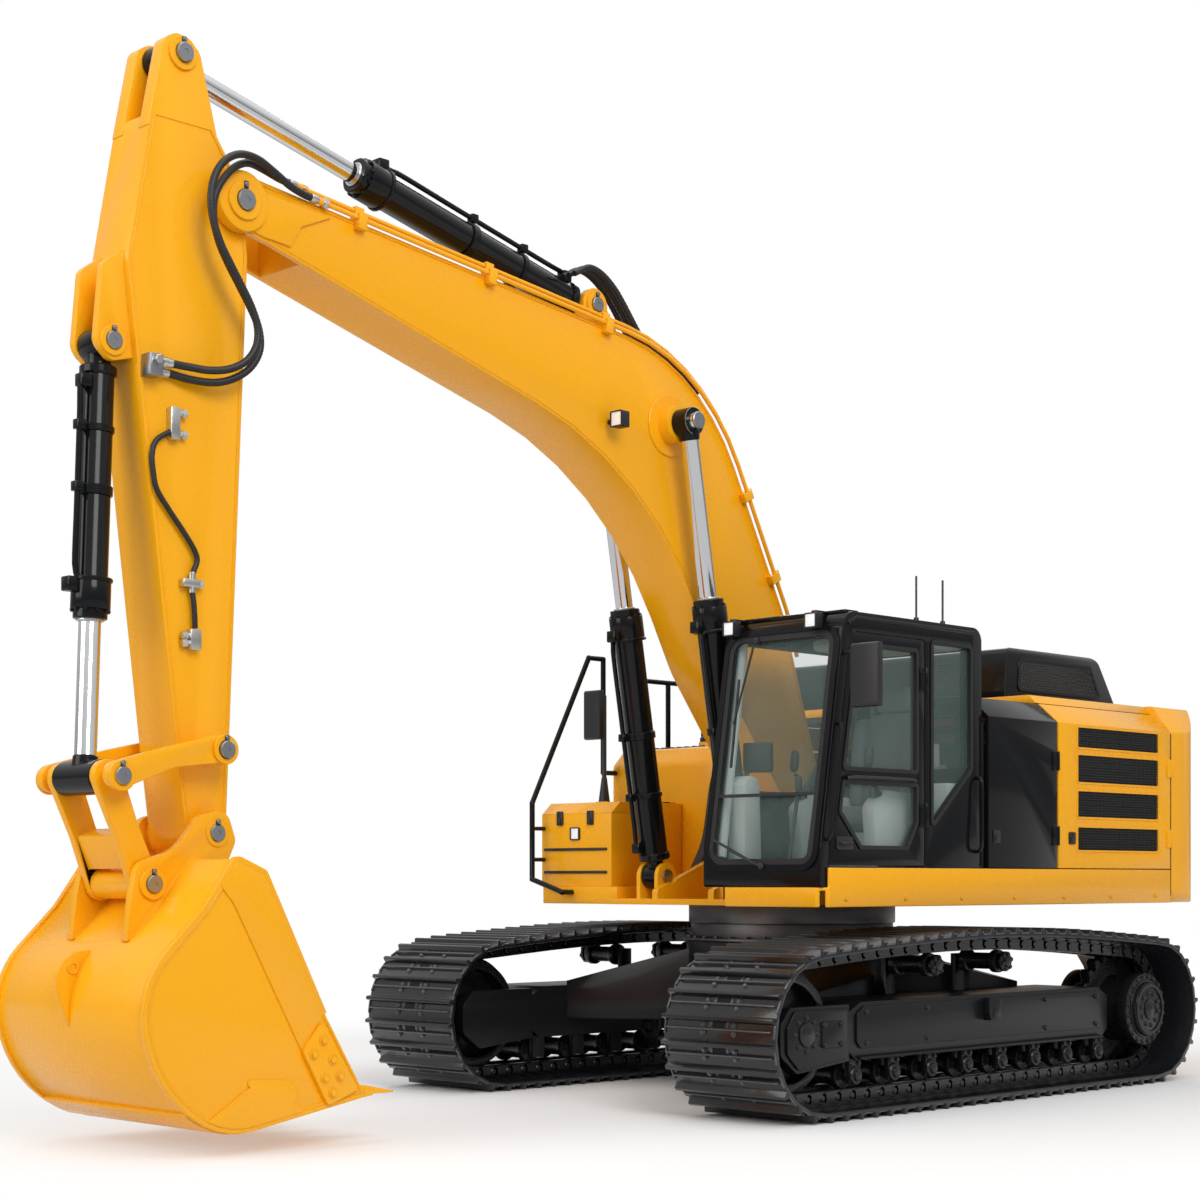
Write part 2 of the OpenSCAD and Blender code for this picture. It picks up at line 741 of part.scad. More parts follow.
module house_frame() {
  t = 30;
  color("#232427") difference() {
    union() {
      for (x = [house_front - t, door_split - t / 2, cw_front + 5]) {
        rib(house_outline(house_w), x, x + t);
      }
      // Floor rails between the bulkheads
      for (side = [-1, 1]) {
        y = side * (half_w - 120);
        box(cw_front + 5, house_front, y - 60, y + 60, deck_top + seat, skirt_top + 5);
      }
    }
    // Boom bay, engine bay and the right-hand tank's place
    box(door_split - 100, 200, -tower_y - tower_t - 80, tower_y + tower_t + 80, 0, 4000);
    box(cw_front - 10, 200, 245 - half_w, half_w - 245, deck_z, house_top - 120);
    box(pump_front, 400, -2000, -300, deck_z, 4000);
  }
  // Cover and inner wall behind the cab, and the cover over the valves behind the boom
  color("#232427") {
    box(door_split + t / 2, house_front - t, bay_y + 20, half_w - shoulder_w - 80, hood_z - 30, hood_z);
    box(door_split + t / 2, house_front - t, bay_y, bay_y + 20, deck_z + 40 + seat, hood_z);
    box(door_split + 20 + run, foot[0] - 560, -bay_y, bay_y + 5, 2300, 2330);
    box(foot[0] - 590, foot[0] - 560, -bay_y, bay_y + 5, deck_z + 430, 2330);
  }
}

module engine() {
  color("#55585c") {
    box(-2330, -1250, -480, 420, deck_z + 120, 2250);
    box(-2200, -1400, -300, 250, 2245, 2420);
    for (x = [-2250, -1400]) for (y = [-420, 360]) box(x, x + 70, y - 35, y + 35, deck_z + 40, deck_z + 125);
  }
}

// Door of the house: wrapped outline over the shoulder, skin with a rim
module house_door(x0, x1, bottom) {
  w = half_w;
  module shell(d) {
    rib([[w - door_t, bottom], [w - d, bottom], [w - d, shoulder_z - d / 2],
      [w - shoulder_w - d * 0.6, hood_z - run], [w - shoulder_w - door_t * 1.6, hood_z - run],
      [w - door_t, shoulder_z - door_t / 2]], x0, x1);
  }
  difference() {
    shell(0);
    intersection() {
      translate([0, -skin, 0]) shell_inner(x0 + rim, x1 - rim, bottom + rim);
      box(x0 + rim, x1 - rim, 0, w - skin, bottom + rim, house_top);
    }
  }
}

knuckle_r = 8;
knuckle_off = knuckle_r + run;

// Hinge knuckles with their leaves, proud of a door's skin at its rear edge
module door_knuckles(x) {
  for (z = [skirt_top + 160, shoulder_z - 330]) {
    translate([x, half_w + knuckle_off, z]) cylinder(r = knuckle_r, h = 130);
    box(x, x + 60, half_w - 2, half_w + knuckle_off, z, z + 130);
  }
}

// Pocket behind a door's skin
module shell_inner(x0, x1, z0) {
  w = half_w;
  rib([[w - door_t - 50, z0], [w, z0], [w, shoulder_z - 40], [w - door_t - 50, shoulder_z - 40]], x0, x1);
}

module access_door() {
  x0 = door_split + 2.5 * door_gap;
  color("#1b1c1e") {
    house_door(x0, house_front - 30 - door_gap, skirt_top + door_gap);
    door_knuckles(x0);
  }
}

// Grilles of the louvred door, as [height of the lower edge, height of the opening]
grilles = [[1620, 160], [1850, 180], [2090, 190], [2330, 140]];
slat_pitch = 34;

module louvre_door() {
  x0 = cw_front + 180;
  x1 = door_split - 240;
  color("#f6b223") difference() {
    house_door(cw_front + door_gap, door_split - door_gap / 2, skirt_top + door_gap);
    for (g = grilles) box(x0, x1, half_w - 60, half_w + 10, g[0], g[0] + g[1]);
  }
  color("#f6b223") door_knuckles(cw_front + door_gap);
}

// Slats in the openings of the louvred door
module louvre_slats() {
  x0 = cw_front + 180 + seat;
  x1 = door_split - 240 - seat;
  slat_d = 14;
  color("#1b1c1e") for (g = grilles) for (z = [g[0] + 12:slat_pitch:g[0] + g[1] - 12]) {
    rib([[half_w - skin - slat_d, z], [half_w - 3, z + 6], [half_w - 3, z + 12], [half_w - skin - slat_d, z + 6]],
      x0, x1);
  }
}

module pump_door() {
  color("#f6b223") mirror([0, 1, 0]) {
    house_door(cw_front + door_gap, pump_front - door_gap, skirt_top + door_gap);
    door_knuckles(cw_front + door_gap);
  }
}

hood_z = house_top - 60;
airbox_w = 1060;

hood_front = door_split + 20;
airbox_wall = 70;

module hood() {
  w = half_w - shoulder_w - 10;
  color("#f6b223") {
    difference() {
      rib([[-w, hood_z + seat], [w, hood_z + seat], [w - 60, house_top], [60 - w, house_top]],
        cw_front + door_gap, hood_front);
      rib([[60 - w, hood_z - 1], [w - 60, hood_z - 1], [w - 90, house_top - skin], [90 - w, house_top - skin]],
        cw_front + rim, hood_front - rim);
      // Way for the air into the box on top
      box(cw_front + 230, hood_front - 190, airbox_wall - airbox_w, airbox_w - airbox_wall, hood_z, house_top + 1);
    }
    // Hinge knuckles on the front edge
    for (side = [-1, 1]) {
      y = side * 750;
      peg([hood_front + 10, hood_z + knuckle_off], knuckle_r, y - 70, y + 70);
      box(hood_front - 2, hood_front + 10, y - 70, y + 70, hood_z + run, hood_z + knuckle_off + knuckle_r);
    }
  }
}

// Air box on the hood
module air_box() {
  z0 = house_top + seat;
  color("#1b1c1e") difference() {
    intersection() {
      rib(rounded([[-airbox_w, z0, 0], [airbox_w, z0, 0], [airbox_w - 50, cab_top, 60], [50 - airbox_w, cab_top, 60]]),
        cw_front, hood_front);
      slab(rounded([[cw_front + 40, z0, 0], [hood_front - 20, z0, 0], [hood_front - 120, cab_top - 10, 80],
        [cw_front + 220, cab_top - 10, 120]]), -2000, 2000);
    }
    box(cw_front + 230, hood_front - 190, airbox_wall - airbox_w, airbox_w - airbox_wall, house_top - 10, cab_top - 60);
  }
}

module fuel_tank() {
  corners = [[pump_front + 10, deck_top + seat, 0], [270, deck_top + seat, 0], [270, 2250, 60], [150, 2370, 60],
    [pump_front + 10, 2370, 30]];
  color("#f6b223") difference() {
    union() {
      slab(rounded(corners), -half_w + 25, -tower_y - tower_t - 180);
      translate([-200, -900, 2365]) cylinder(d = 220, h = 60);
    }
    slab(rounded(inset(corners, skin)), -half_w + 25 + skin, -tower_y - tower_t - 180 - skin);
  }
}

box_z1 = 1880;
lid_back = 560;
lid_h = 80;

module toolbox() {
  color("#f6b223") difference() {
    slab([[280, deck_top + seat], [toolbox_front, deck_top + seat], [toolbox_front, box_z1], [280, box_z1]],
      -half_w + 25 + seat, -780);
    box(300, toolbox_front - 20, -half_w + 45, -800, deck_top + 20, box_z1 + 10);
  }
  // Fixed top behind the lid
  color("#f6b223") box(280, lid_back - run, -half_w + 25 + seat, -780, box_z1 - 5, box_z1 + lid_h);
}

module toolbox_lid() {
  color("#f6b223") difference() {
    slab([[lid_back, box_z1 + seat], [toolbox_front, box_z1 + seat], [toolbox_front - 90, box_z1 + lid_h],
      [lid_back, box_z1 + lid_h]], -half_w + 25 + seat, -780);
    box(lid_back + 20, toolbox_front - 110, -half_w + 45, -800, box_z1 - 1, box_z1 + lid_h - skin);
  }
  // Hinge knuckles on the rear edge
  color("#f6b223") for (y = [-half_w + 190, -960]) {
    peg([lid_back, box_z1 + lid_h + knuckle_off], knuckle_r, y - 60, y + 60);
    box(lid_back, lid_back + 50, y - 60, y + 60, box_z1 + lid_h - 2, box_z1 + lid_h + knuckle_off);
  }
}

module counterweight() {
  back = cw_front - cw_len;
  r = 420;
  color("#f6b223") difference() {
    intersection() {
      translate([0, 0, deck_z]) linear_extrude(house_top - deck_z) polygon(rounded([[cw_front - seat, half_w, 0],
        [back + 60, half_w, r], [back, 0, 0], [back + 60, -half_w, r], [cw_front - seat, -half_w, 0]]));
      rib(rounded([[-half_w, deck_z, 120], [half_w, deck_z, 120], [half_w, shoulder_z, 30],
        [half_w - shoulder_w, house_top, 40], [shoulder_w - half_w, house_top, 40], [-half_w, shoulder_z, 30]]),
        back - 100, cw_front + 100);
    }
    // Closed hollow of the casting
    box(back + 170, cw_front - 60, -half_w + 330, half_w - 330, deck_z + 130, house_top - 130);
  }
}

eye_bore = 60;
eye_t = 50;

module lifting_eyes() {
  color("#f6b223") for (side = [-1, 1]) {
    p = [cw_front - cw_len / 2, house_top + 70];
    y = side * 620;
    difference() {
      union() {
        peg(p, 65, y - eye_t / 2, y + eye_t / 2);
        box(p[0] - 90, p[0] + 90, y - eye_t / 2, y + eye_t / 2, house_top + seat, house_top + 50);
      }
      peg(p, eye_bore / 2, y - eye_t, y + eye_t);
    }
  }
}

rail_d = 38;

module handrails() {
  y = -half_w + 50;
  color("#1a1b1d") {
    // Front rail beside the toolbox
    tube([[toolbox_front + 20 + seat, y + 300, 1330], [toolbox_front + 120, y + 300, 1330],
      [toolbox_front + 120, y, 1420], [toolbox_front + 120, y, 1960], [550, y, 3030], [400, y, 3030], [400, y, 2200],
      [270 + seat, y, 2200]], rail_d);
    bar([toolbox_front + seat, y, 1560], [toolbox_front + 120, y, 1560], 30);
    bar([toolbox_front + seat, y, 1780], [toolbox_front + 120, y, 1780], 30);
    // Guard on the tank's top
    tube([[100, y, 2370 + seat], [100, y, 2900], [-700, y, 2900], [-700, y, 2370 + seat]], rail_d);
    bar([-300, y, 2370 + seat], [-300, y, 2900], rail_d);
  }
}

module mirrors() {
  color("#17181a") {
    // Left, on an arm ahead of the door
    tube([[front_x(2800) - 40, cab_out + seat, 2800], [front_x(2800) - 40, cab_out + 60, 2800],
      [1490, cab_out + 330, 2800], [1490, cab_out + 330, 2700]], 30);
    slab(rounded([[1470, 2440, 8], [1520, 2440, 20], [1520, 2820, 20], [1470, 2820, 8]]),
      cab_out + 230, cab_out + 430);
    // Right, on a pole with a cone at its foot
    translate([430, -half_w + 90, box_z1 + lid_h + seat]) cylinder(d1 = 90, d2 = 40, h = 200);
    bar([430, -half_w + 90, box_z1 + lid_h + 10], [430, -half_w + 90, 2760], 34);
    slab(rounded([[440, 2440, 8], [490, 2440, 20], [490, 2800, 20], [440, 2800, 8]]), -half_w - 60, -half_w + 100);
  }
}

// Boom

boom_corners = [at(nose, -60, 150, 60), at(foot, 1132, 2867, 1350), at(foot, 288, 1315, 600), at(foot, -150, 60, 100),
  at(foot, -120, -150, 100), at(foot, 150, -110, 100), at(foot, 960, 900, 900), at(foot, 1650, 2135, 2400),
  at(nose, -190, -185, 60), at(nose, 90, -130, 120), at(nose, 130, 120, 120)];

nose_in = stick_w / 2 + run;
nose_out = nose_in + 70;

module boom() {
  h = boom_w / 2;
  stick_ear = 48;
  color("#f6b223") difference() {
    union() {
      slab(rounded(boom_corners), -h, h);
      peg_pair(nose, 160, nose_in, nose_out);
      // Foot boss
      peg(foot, 165, -tower_y + run, tower_y - run);
      // Bosses of the boom cylinders' rods
      peg_pair(lift_rod, 120, h - 5, lift_y - 60 - seat);
      // Ears of the stick cylinder
      for (side = [-1, 1]) {
        y = side * (eye_half + 10 + stick_ear / 2);
        peg(crowd_base, 105, y - stick_ear / 2, y + stick_ear / 2);
        slab([at(crowd_base, -230, -190), at(crowd_base, 200, -150), at(crowd_base, 95, 0), at(crowd_base, -95, 0)],
          y - stick_ear / 2, y + stick_ear / 2);
      }
    }
    slab(rounded(inset(boom_corners, flange_t)), -h + web_t, h - web_t);
    // Fork for the stick
    box(nose[0] - 420, nose[0] + 500, -nose_in, nose_in, nose[1] - 500, nose[1] + 500);
    peg(foot, pin_d / 2 + seat, -400, 400);
    peg(nose, pin_d / 2 + seat, -400, 400);
    peg(crowd_base, pin_d * 0.42 + seat, -200, 200);
  }
  // Bulkhead that closes the box behind the fork
  color("#f6b223") intersection() {
    slab(rounded(boom_corners), -h + 1, h - 1);
    box(nose[0] - 440, nose[0] - 419, -h, h, 0, 9000);
  }
}

module boom_pins() {
  color("#8c8f93") {
    peg(nose, pin_d / 2, -nose_out - 25, nose_out + 25);
    peg(crowd_base, pin_d * 0.42, -eye_half - 75, eye_half + 75);
  }
}

// Hoses that hang from the pipes' ends at the nose to the block on the stick
hose_d = 42;
near_hose = [[4380, 235, 5158], [4470, 236, 5168], [4580, 252, 5190], [4700, 276, 5230], [4830, 300, 5265],
  [4960, 320, 5255], [5070, 336, 5190], [5140, 346, 5090], [5165, 350, 4975], [5150, 350, 4860], [5105, 350, 4750],
  [5040, 350, 4650], [4970, 350, 4550], [4905, 350, 4450], [4865, 350, 4350], [4870, 345, 4250], [4925, 332, 4165],
  [5015, 308, 4112], [5120, 280, 4092], [5230, 250, 4096], [5320, 236, 4100], [5399, 236, 4100]];
far_hose = [[4500, 194, 5221], [4600, 195, 5232], [4740, 222, 5250], [4860, 256, 5246], [4970, 284, 5190],
  [5060, 298, 5095], [5108, 300, 4995], [5112, 300, 4885], [5080, 300, 4775], [5020, 300, 4670], [4950, 300, 4570],
  [4880, 300, 4470], [4822, 300, 4365], [4812, 300, 4255], [4862, 295, 4155], [4955, 280, 4080], [5070, 255, 4040],
  [5200, 220, 4040], [5320, 200, 4055], [5399, 200, 4055]];

// Two steel pipes along the boom's top edge, on its left side, stood off it by clamps
pipe_d = 30;
pipe_y = [boom_w / 2 - 16, boom_w / 2 + pipe_d / 2 + 10];
pipe_out = [62, 14];
ferrule = 90;

// Path from a hose's ferrule along the boom's edge, moved out by off
function pipe_path(route, off, y) =
  let (
    edge = inset(boom_corners, -off),
    run_dir = unit(xz(edge[1]) - xz(edge[0])),
    head = xz(edge[0]) + run_dir * (route[0][0] - ferrule - 1 - edge[0][0]) / run_dir[0],
    tail = xz(edge[2]) + unit(xz(edge[3]) - xz(edge[2])) * 300
  )
  [for (p = rounded([[head[0], head[1], 0], edge[1], edge[2], [tail[0], tail[1], 0]])) [p[0], y, p[1]]];

// Ferrule behind the first point of a hose
module hose_end(route) {
  u = unit(route[1] - route[0]);
  swept([route[0] - ferrule * u, route[0] - seat * u], hose_d + 4);
}

module boom_pipes() {
  color("#e0a020") {
    swept(pipe_path(far_hose, pipe_out[0], pipe_y[0]), pipe_d);
    swept(pipe_path(near_hose, pipe_out[1], pipe_y[1]), pipe_d);
    hose_end(near_hose);
    hose_end(far_hose);
  }
}

// Clamp over both pipes, in the frame of the boom's edge
module pipe_clamp(x) {
  h = boom_w / 2;
  difference() {
    union() {
      box(x - 30, x + 30, pipe_y[0] - 23, pipe_y[0] + 23, seat, pipe_out[0] + 23);
      box(x - 30, x + 30, pipe_y[0], h + pipe_d + 18, seat, pipe_out[1] + 23);
      box(x - 30, x + 30, h + seat, h + pipe_d + 18, -50, 2 * seat);
    }
    for (k = [0, 1]) {
      translate([x - 40, pipe_y[k], pipe_out[k]]) rotate([0, 90, 0]) cylinder(d = pipe_d + 2 * seat, h = 80);
    }
  }
}

module pipe_clamps() {
  color("#e0a020") {
    along(boom_corners[1], boom_corners[0]) for (x = [900, 1900, 2900]) pipe_clamp(x);
    along(boom_corners[2], boom_corners[1]) for (x = [270, 860]) pipe_clamp(x);
  }
}

module hose_near() {
  color("#141416") swept(near_hose, hose_d);
}

module hose_far() {
  color("#141416") swept(far_hose, hose_d);
}

module boom_lamp() {
  p = foot + [2010, 2330];
  y = boom_w / 2;
  color("#202124") {
    box(p[0] - 50, p[0] + 20, y + 60, y + 150, p[1], p[1] + 100);
    box(p[0] - 30, p[0], y + seat, y + 65, p[1] + 30, p[1] + 60);
  }
}

// Cylinders: base eye, barrel and gland; rod and rod eye

module barrel(base, pin, y, d, length, half) {
  along(base, pin, y) {
    difference() {
      union() {
        translate([0, half, 0]) rotate([90, 0, 0]) cylinder(r = 85, h = 2 * half);
        rotate([0, 90, 0]) cylinder(d = 1.7 * half, h = neck + 5);
        translate([neck, 0, 0]) rotate([0, 90, 0]) cylinder(d = d, h = length - neck);
        translate([length - 190, 0, 0]) rotate([0, 90, 0]) cylinder(d = d + 36, h = 150);
      }
      translate([0, half + 1, 0]) rotate([90, 0, 0]) cylinder(d = 0.84 * pin_d + 2 * seat, h = 2 * half + 2);
      translate([neck + 60, 0, 0]) rotate([0, 90, 0]) cylinder(d = rod_d + 2 * seat, h = length);
    }
  }
}

module rod(base, pin, y, inner, half) {
  reach = norm(pin - base);
  along(base, pin, y) {
    translate([inner, 0, 0]) rotate([0, 90, 0]) cylinder(d = rod_d, h = reach - inner);
    translate([reach, half, 0]) rotate([90, 0, 0]) cylinder(r = 88, h = 2 * half);
  }
}

neck = 120;
lift_len = 1800;
crowd_len = 1880;
curl_len = 1420;

module lift_barrels() {
  color("#1b1c1e") for (side = [-1, 1]) {
    barrel(lift_base, lift_rod, side * lift_y, lift_d, lift_len, lift_ear_in - 1);
  }
}

module lift_rods() {
  color("#d9dcdf") for (side = [-1, 1]) {
    rod(lift_base, lift_rod, side * lift_y, lift_len - 250, 60);
    peg(lift_rod, 55, side * (lift_y + 70) - 22, side * (lift_y + 70) + 22);
  }
}

module crowd_barrel() {
  color("#1b1c1e") barrel(crowd_base, crowd_rod, 0, crowd_d, crowd_len, eye_half + 5);
}

module crowd_rod_piece() {
  color("#d9dcdf") rod(crowd_base, crowd_rod, 0, crowd_len - 250, eye_half);
}

module curl_barrel() {
  color("#1b1c1e") barrel(curl_base, link_top, 0, curl_d, curl_len, eye_half + 5);
}

module curl_rod_piece() {
  color("#d9dcdf") {
    rod(curl_base, link_top, 0, curl_len - 250, eye_half);
    peg(link_top, pin_d * 0.42, -stick_w / 2, stick_w / 2);
  }
}

// Stick

stick_corners = [at(bucket_pin, -135, 60, 60), at(bucket_pin, -60, -125, 60), at(bucket_pin, 110, -90, 70),
  at(bucket_pin, 180, 440, 200), at(nose, 685, -420, 300), at(crowd_rod, 190, -340, 30),
  at(crowd_rod, -190, -340, 30), at(nose, -45, 80, 200), at(nose, -75, -295, 400)];

module stick() {
  h = stick_w / 2;
  ear = 45;
  head_in = eye_half + run;
  color("#f6b223") difference() {
    union() {
      slab(rounded(stick_corners), -h, h);
      peg(nose, 150, -h, h);
      peg(bucket_pin, 125, -h, h);
      peg_pair(idler_pin, 80, h - 5, idler_in - run);
      // Head ears of the stick cylinder
      slab_pair(rounded([at(crowd_rod, -230, -420, 0), at(crowd_rod, 210, -420, 0), at(crowd_rod, 110, 60, 80),
        at(crowd_rod, 20, 110, 80), at(crowd_rod, -110, 40, 80)]), head_in, h);
      // Ears of the bucket cylinder
      slab_pair(rounded([at(curl_base, -150, -60, 0), at(curl_base, 10, -105, 60), at(curl_base, 100, -20, 80),
        at(curl_base, 60, 390, 60), at(curl_base, -60, 480, 0), at(curl_base, -150, 400, 0)]),
        head_in + 5, head_in + 5 + ear);
    }
    slab(rounded(inset(stick_corners, flange_t)), -h + web_t, h - web_t);
    peg(nose, pin_d / 2 + seat, -400, 400);
    peg(bucket_pin, pin_d * 0.42 + seat, -400, 400);
    peg(idler_pin, pin_d * 0.42 + seat, -400, 400);
    peg(curl_base, pin_d * 0.42 + seat, -400, 400);
  }
}

// Block on the stick's side where the hoses end
module hose_block() {
  h = stick_w / 2 + seat;
  color("#8c8f93") box(5399 + seat, 5480, h, h + 90, 4020, 4135);
}

module stick_pins() {
  h = stick_w / 2;
  color("#8c8f93") {
    peg_pair(crowd_rod, 50, h + seat, h + 30);
    peg(curl_base, pin_d * 0.42, -eye_half - 75, eye_half + 75);
    peg(idler_pin, pin_d * 0.42, -idler_in - idler_t - 25, idler_in + idler_t + 25);
    peg(bucket_pin, pin_d * 0.42, -ear_in - ear_t - 3, ear_in + ear_t + 3);
  }
}

// Bucket linkage

// Plate with round ends of radius r, a waist and a bow at its middle, along local X
function link_plate(length, r, waist, bow = 0) =
  rounded([[-r, -r, 0.94 * r], [length / 2, bow - waist, 300], [length + r, -r, 0.94 * r],
    [length + r, r, 0.94 * r], [length / 2, bow + waist, 300], [-r, r, 0.94 * r]]);

module idler_links() {
  length = norm(link_top - idler_pin);
  idler_bow = 32;
  color("#f6b223") for (side = [-1, 1]) {
    y0 = side > 0 ? idler_in : -idler_in - idler_t;
    difference() {
      union() {
        along(idler_pin, link_top) slab(link_plate(length, 78, 56, idler_bow), y0, y0 + idler_t);
        peg(link_top, 48, side > 0 ? y0 + idler_t - 1 : y0 - 22, side > 0 ? y0 + idler_t + 22 : y0 + 1);
      }
      peg(idler_pin, pin_d * 0.42 + seat, -600, 600);
    }
  }
}

module power_link() {
  length = norm(bucket_link - link_top);
  color("#f6b223") difference() {
    union() {
      along(link_top, bucket_link) {
        slab_pair(link_plate(length, 88, 72), link_in, link_out);
        slab([[300, -55], [length - 105, -55], [length - 105, 55], [300, 55]], -link_in - 1, link_in + 1);
      }
      peg(bucket_link, 78, -link_in - 1, link_in + 1);
    }
    peg(bucket_link, pin_d * 0.42 + seat, -600, 600);
  }
}

module bucket_pins() {
  color("#8c8f93") peg(bucket_link, pin_d * 0.42, -ear_in - ear_t - 22, ear_in + ear_t + 22);
}

// Bucket: shell corners from the lip round the heel to the top

bucket_corners = [at(bucket_pin, -655, -1392, 0), at(bucket_pin, 270, -1549, 480), at(bucket_pin, 640, -1290, 640),
  at(bucket_pin, 795, -800, 440), at(bucket_pin, 375, -392, 200), at(bucket_pin, 180, -130, 40),
  at(bucket_pin, 0, -206, 30), at(bucket_pin, -386, -951, 60)];

module bucket() {
  h = bucket_w / 2;
  side_t = 28;
  color("#f6b223") {
    difference() {
      union() {
        slab(rounded(bucket_corners), -h, h);
        // Ears of the bucket pin and of the link's pin
        for (side = [-1, 1]) {
          y0 = side > 0 ? ear_in : -ear_in - ear_t;
          slab(rounded([at(bucket_pin, -120, -40, 60), at(bucket_pin, 20, -330, 0), at(bucket_pin, 560, -560, 0),
            at(bucket_link, 125, -60, 60), at(bucket_link, 90, 110, 80), at(bucket_pin, 250, -85, 250),
            at(bucket_pin, 120, 90, 80), at(bucket_pin, -60, 130, 80)]), y0, y0 + ear_t);
        }
        peg_pair(bucket_pin, 105, link_in, ear_in + 5);
      }
      slab(rounded(concat([for (i = [0:5]) inset(bucket_corners, shell_t)[i]],
        [at(bucket_pin, -100, -150, 0), at(bucket_pin, -800, -900, 0)])), -h + side_t, h - side_t);
      slab([at(bucket_pin, -800, -1372), at(bucket_pin, -300, -1422), at(bucket_pin, -100, -900),
        at(bucket_pin, -600, -900)], -h + side_t, h - side_t);
      peg(bucket_pin, pin_d * 0.42 + seat, -600, 600);
      peg(bucket_link, pin_d * 0.42 + seat, -600, 600);
    }
  }
}

module bucket_teeth() {
  h = bucket_w / 2;
  pitch = (bucket_w - 140) / (tooth_count - 1);
  color("#e8a51c") for (i = [0:tooth_count - 1]) {
    y = -h + 70 + i * pitch;
    slab([at(bucket_pin, -655 - seat, -1392), at(bucket_pin, -655 - seat, -1340), at(bucket_pin, -870, -1385),
      at(bucket_pin, -870, -1395)], y - 55, y + 55);
  }
}

track_left();
track_right();
track_frames();
car_body();
track_rollers();
idlers();
drive_sprockets();
slew_ring_lower();
tie_lugs();
slew_ring_upper();
main_frame();
decks();
cab_shell();
cab_glass();
cab_interior();
roof_lamps();
house_frame();
engine();
fuel_tank();
toolbox();
counterweight();
lifting_eyes();
handrails();
mirrors();
upper_pins();
cab_door();
cab_door_glass();
access_door();
louvre_door();
louvre_slats();
pump_door();
hood();
air_box();
toolbox_lid();
boom();
boom_pins();
boom_pipes();
pipe_clamps();
boom_lamp();
hose_near();
hose_far();
hose_block();
lift_barrels();
lift_rods();
stick();
stick_pins();
crowd_barrel();
crowd_rod_piece();
curl_barrel();
curl_rod_piece();
idler_links();
power_link();
bucket();
bucket_teeth();
bucket_pins();
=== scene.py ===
"""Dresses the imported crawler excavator: paint, fasteners, trim, hoses, cab fittings and a pale studio."""

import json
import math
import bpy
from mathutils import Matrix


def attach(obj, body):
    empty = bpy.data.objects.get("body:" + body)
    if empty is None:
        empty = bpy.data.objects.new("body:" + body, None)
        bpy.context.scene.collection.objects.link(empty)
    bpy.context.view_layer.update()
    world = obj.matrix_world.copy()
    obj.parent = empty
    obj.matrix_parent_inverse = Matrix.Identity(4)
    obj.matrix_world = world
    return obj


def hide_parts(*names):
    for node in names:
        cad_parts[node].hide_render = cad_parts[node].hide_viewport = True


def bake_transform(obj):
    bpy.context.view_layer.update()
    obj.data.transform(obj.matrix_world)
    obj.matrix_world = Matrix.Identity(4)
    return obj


bl_info = {
    "name": "Crawler excavator dressing",
    "version": (1, 0, 0),
    "blender": (4, 5, 0),
    "location": "3D View > Sidebar > Excavator",
    "description": "Paint, fasteners, trim, hoses and cab fittings for the packed crawler excavator",
    "category": "Object",
}

from functools import cache

import bmesh
import bpy
from bpy.props import FloatProperty, FloatVectorProperty, IntProperty, PointerProperty
from mathutils import Matrix, Vector

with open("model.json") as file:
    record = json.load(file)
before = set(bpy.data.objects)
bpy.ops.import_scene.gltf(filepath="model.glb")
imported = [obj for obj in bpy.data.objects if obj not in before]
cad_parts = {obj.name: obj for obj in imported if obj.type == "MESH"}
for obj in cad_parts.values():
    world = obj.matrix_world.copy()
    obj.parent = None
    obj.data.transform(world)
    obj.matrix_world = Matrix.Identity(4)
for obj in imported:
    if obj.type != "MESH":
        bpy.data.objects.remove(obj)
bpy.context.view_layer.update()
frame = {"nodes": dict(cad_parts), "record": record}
NODE_BODY = {node: body for body, nodes in frame["record"]["behaviour"]["bodies"].items() for node in nodes}
NODE_SLOT = {part["node"]: part["material_slot"] for part in frame["record"]["subparts"]}

# Places on the machine, in metres, as the solids have them.
TRACK_Y = 1.37
TRACK_R = 0.51
LINK_R = 0.45
WHEELBASE = 3.72
TOP_RISE = 0.09
SHOES = 72
SHOE_T = 0.022
FRAME_OUT = 1.62
HALF_W = 1.495
CAB_OUT = 1.47
CAB_IN = 0.53
CAB_TOP = 3.06
CAB_BACK = -0.16
CAB_FRONT = 1.515
CAB_KNEE = 1.6103
CAB_RAKE = 0.235
HEAD_Z = 2.94
SILL_Z = 1.52
BELT_Z = 2.07
DOOR_BACK = 0.465
PILLAR = 0.075
FOOT = Vector((0.05, 1.90))
NOSE = Vector((4.875, 5.045))
LIFT_BASE = Vector((0.98, 1.44))
LIFT_ROD = FOOT + Vector((1.44, 2.435))
CROWD_BASE = FOOT + Vector((2.03, 3.12))
CROWD_ROD = NOSE + Vector((0.345, 0.715))
CURL_BASE = NOSE + Vector((0.745, -0.855))
BUCKET_PIN = NOSE + Vector((0.2, -3.383))
IDLER_PIN = BUCKET_PIN + Vector((-0.01, 0.438))
LINK_TOP = BUCKET_PIN + Vector((0.631, 0.28))
BUCKET_LINK = BUCKET_PIN + Vector((0.406, -0.267))
LIFT_Y = 0.372
BOOM_HALF = 0.21
STICK_HALF = 0.17


# Outlines in the X-Z plane


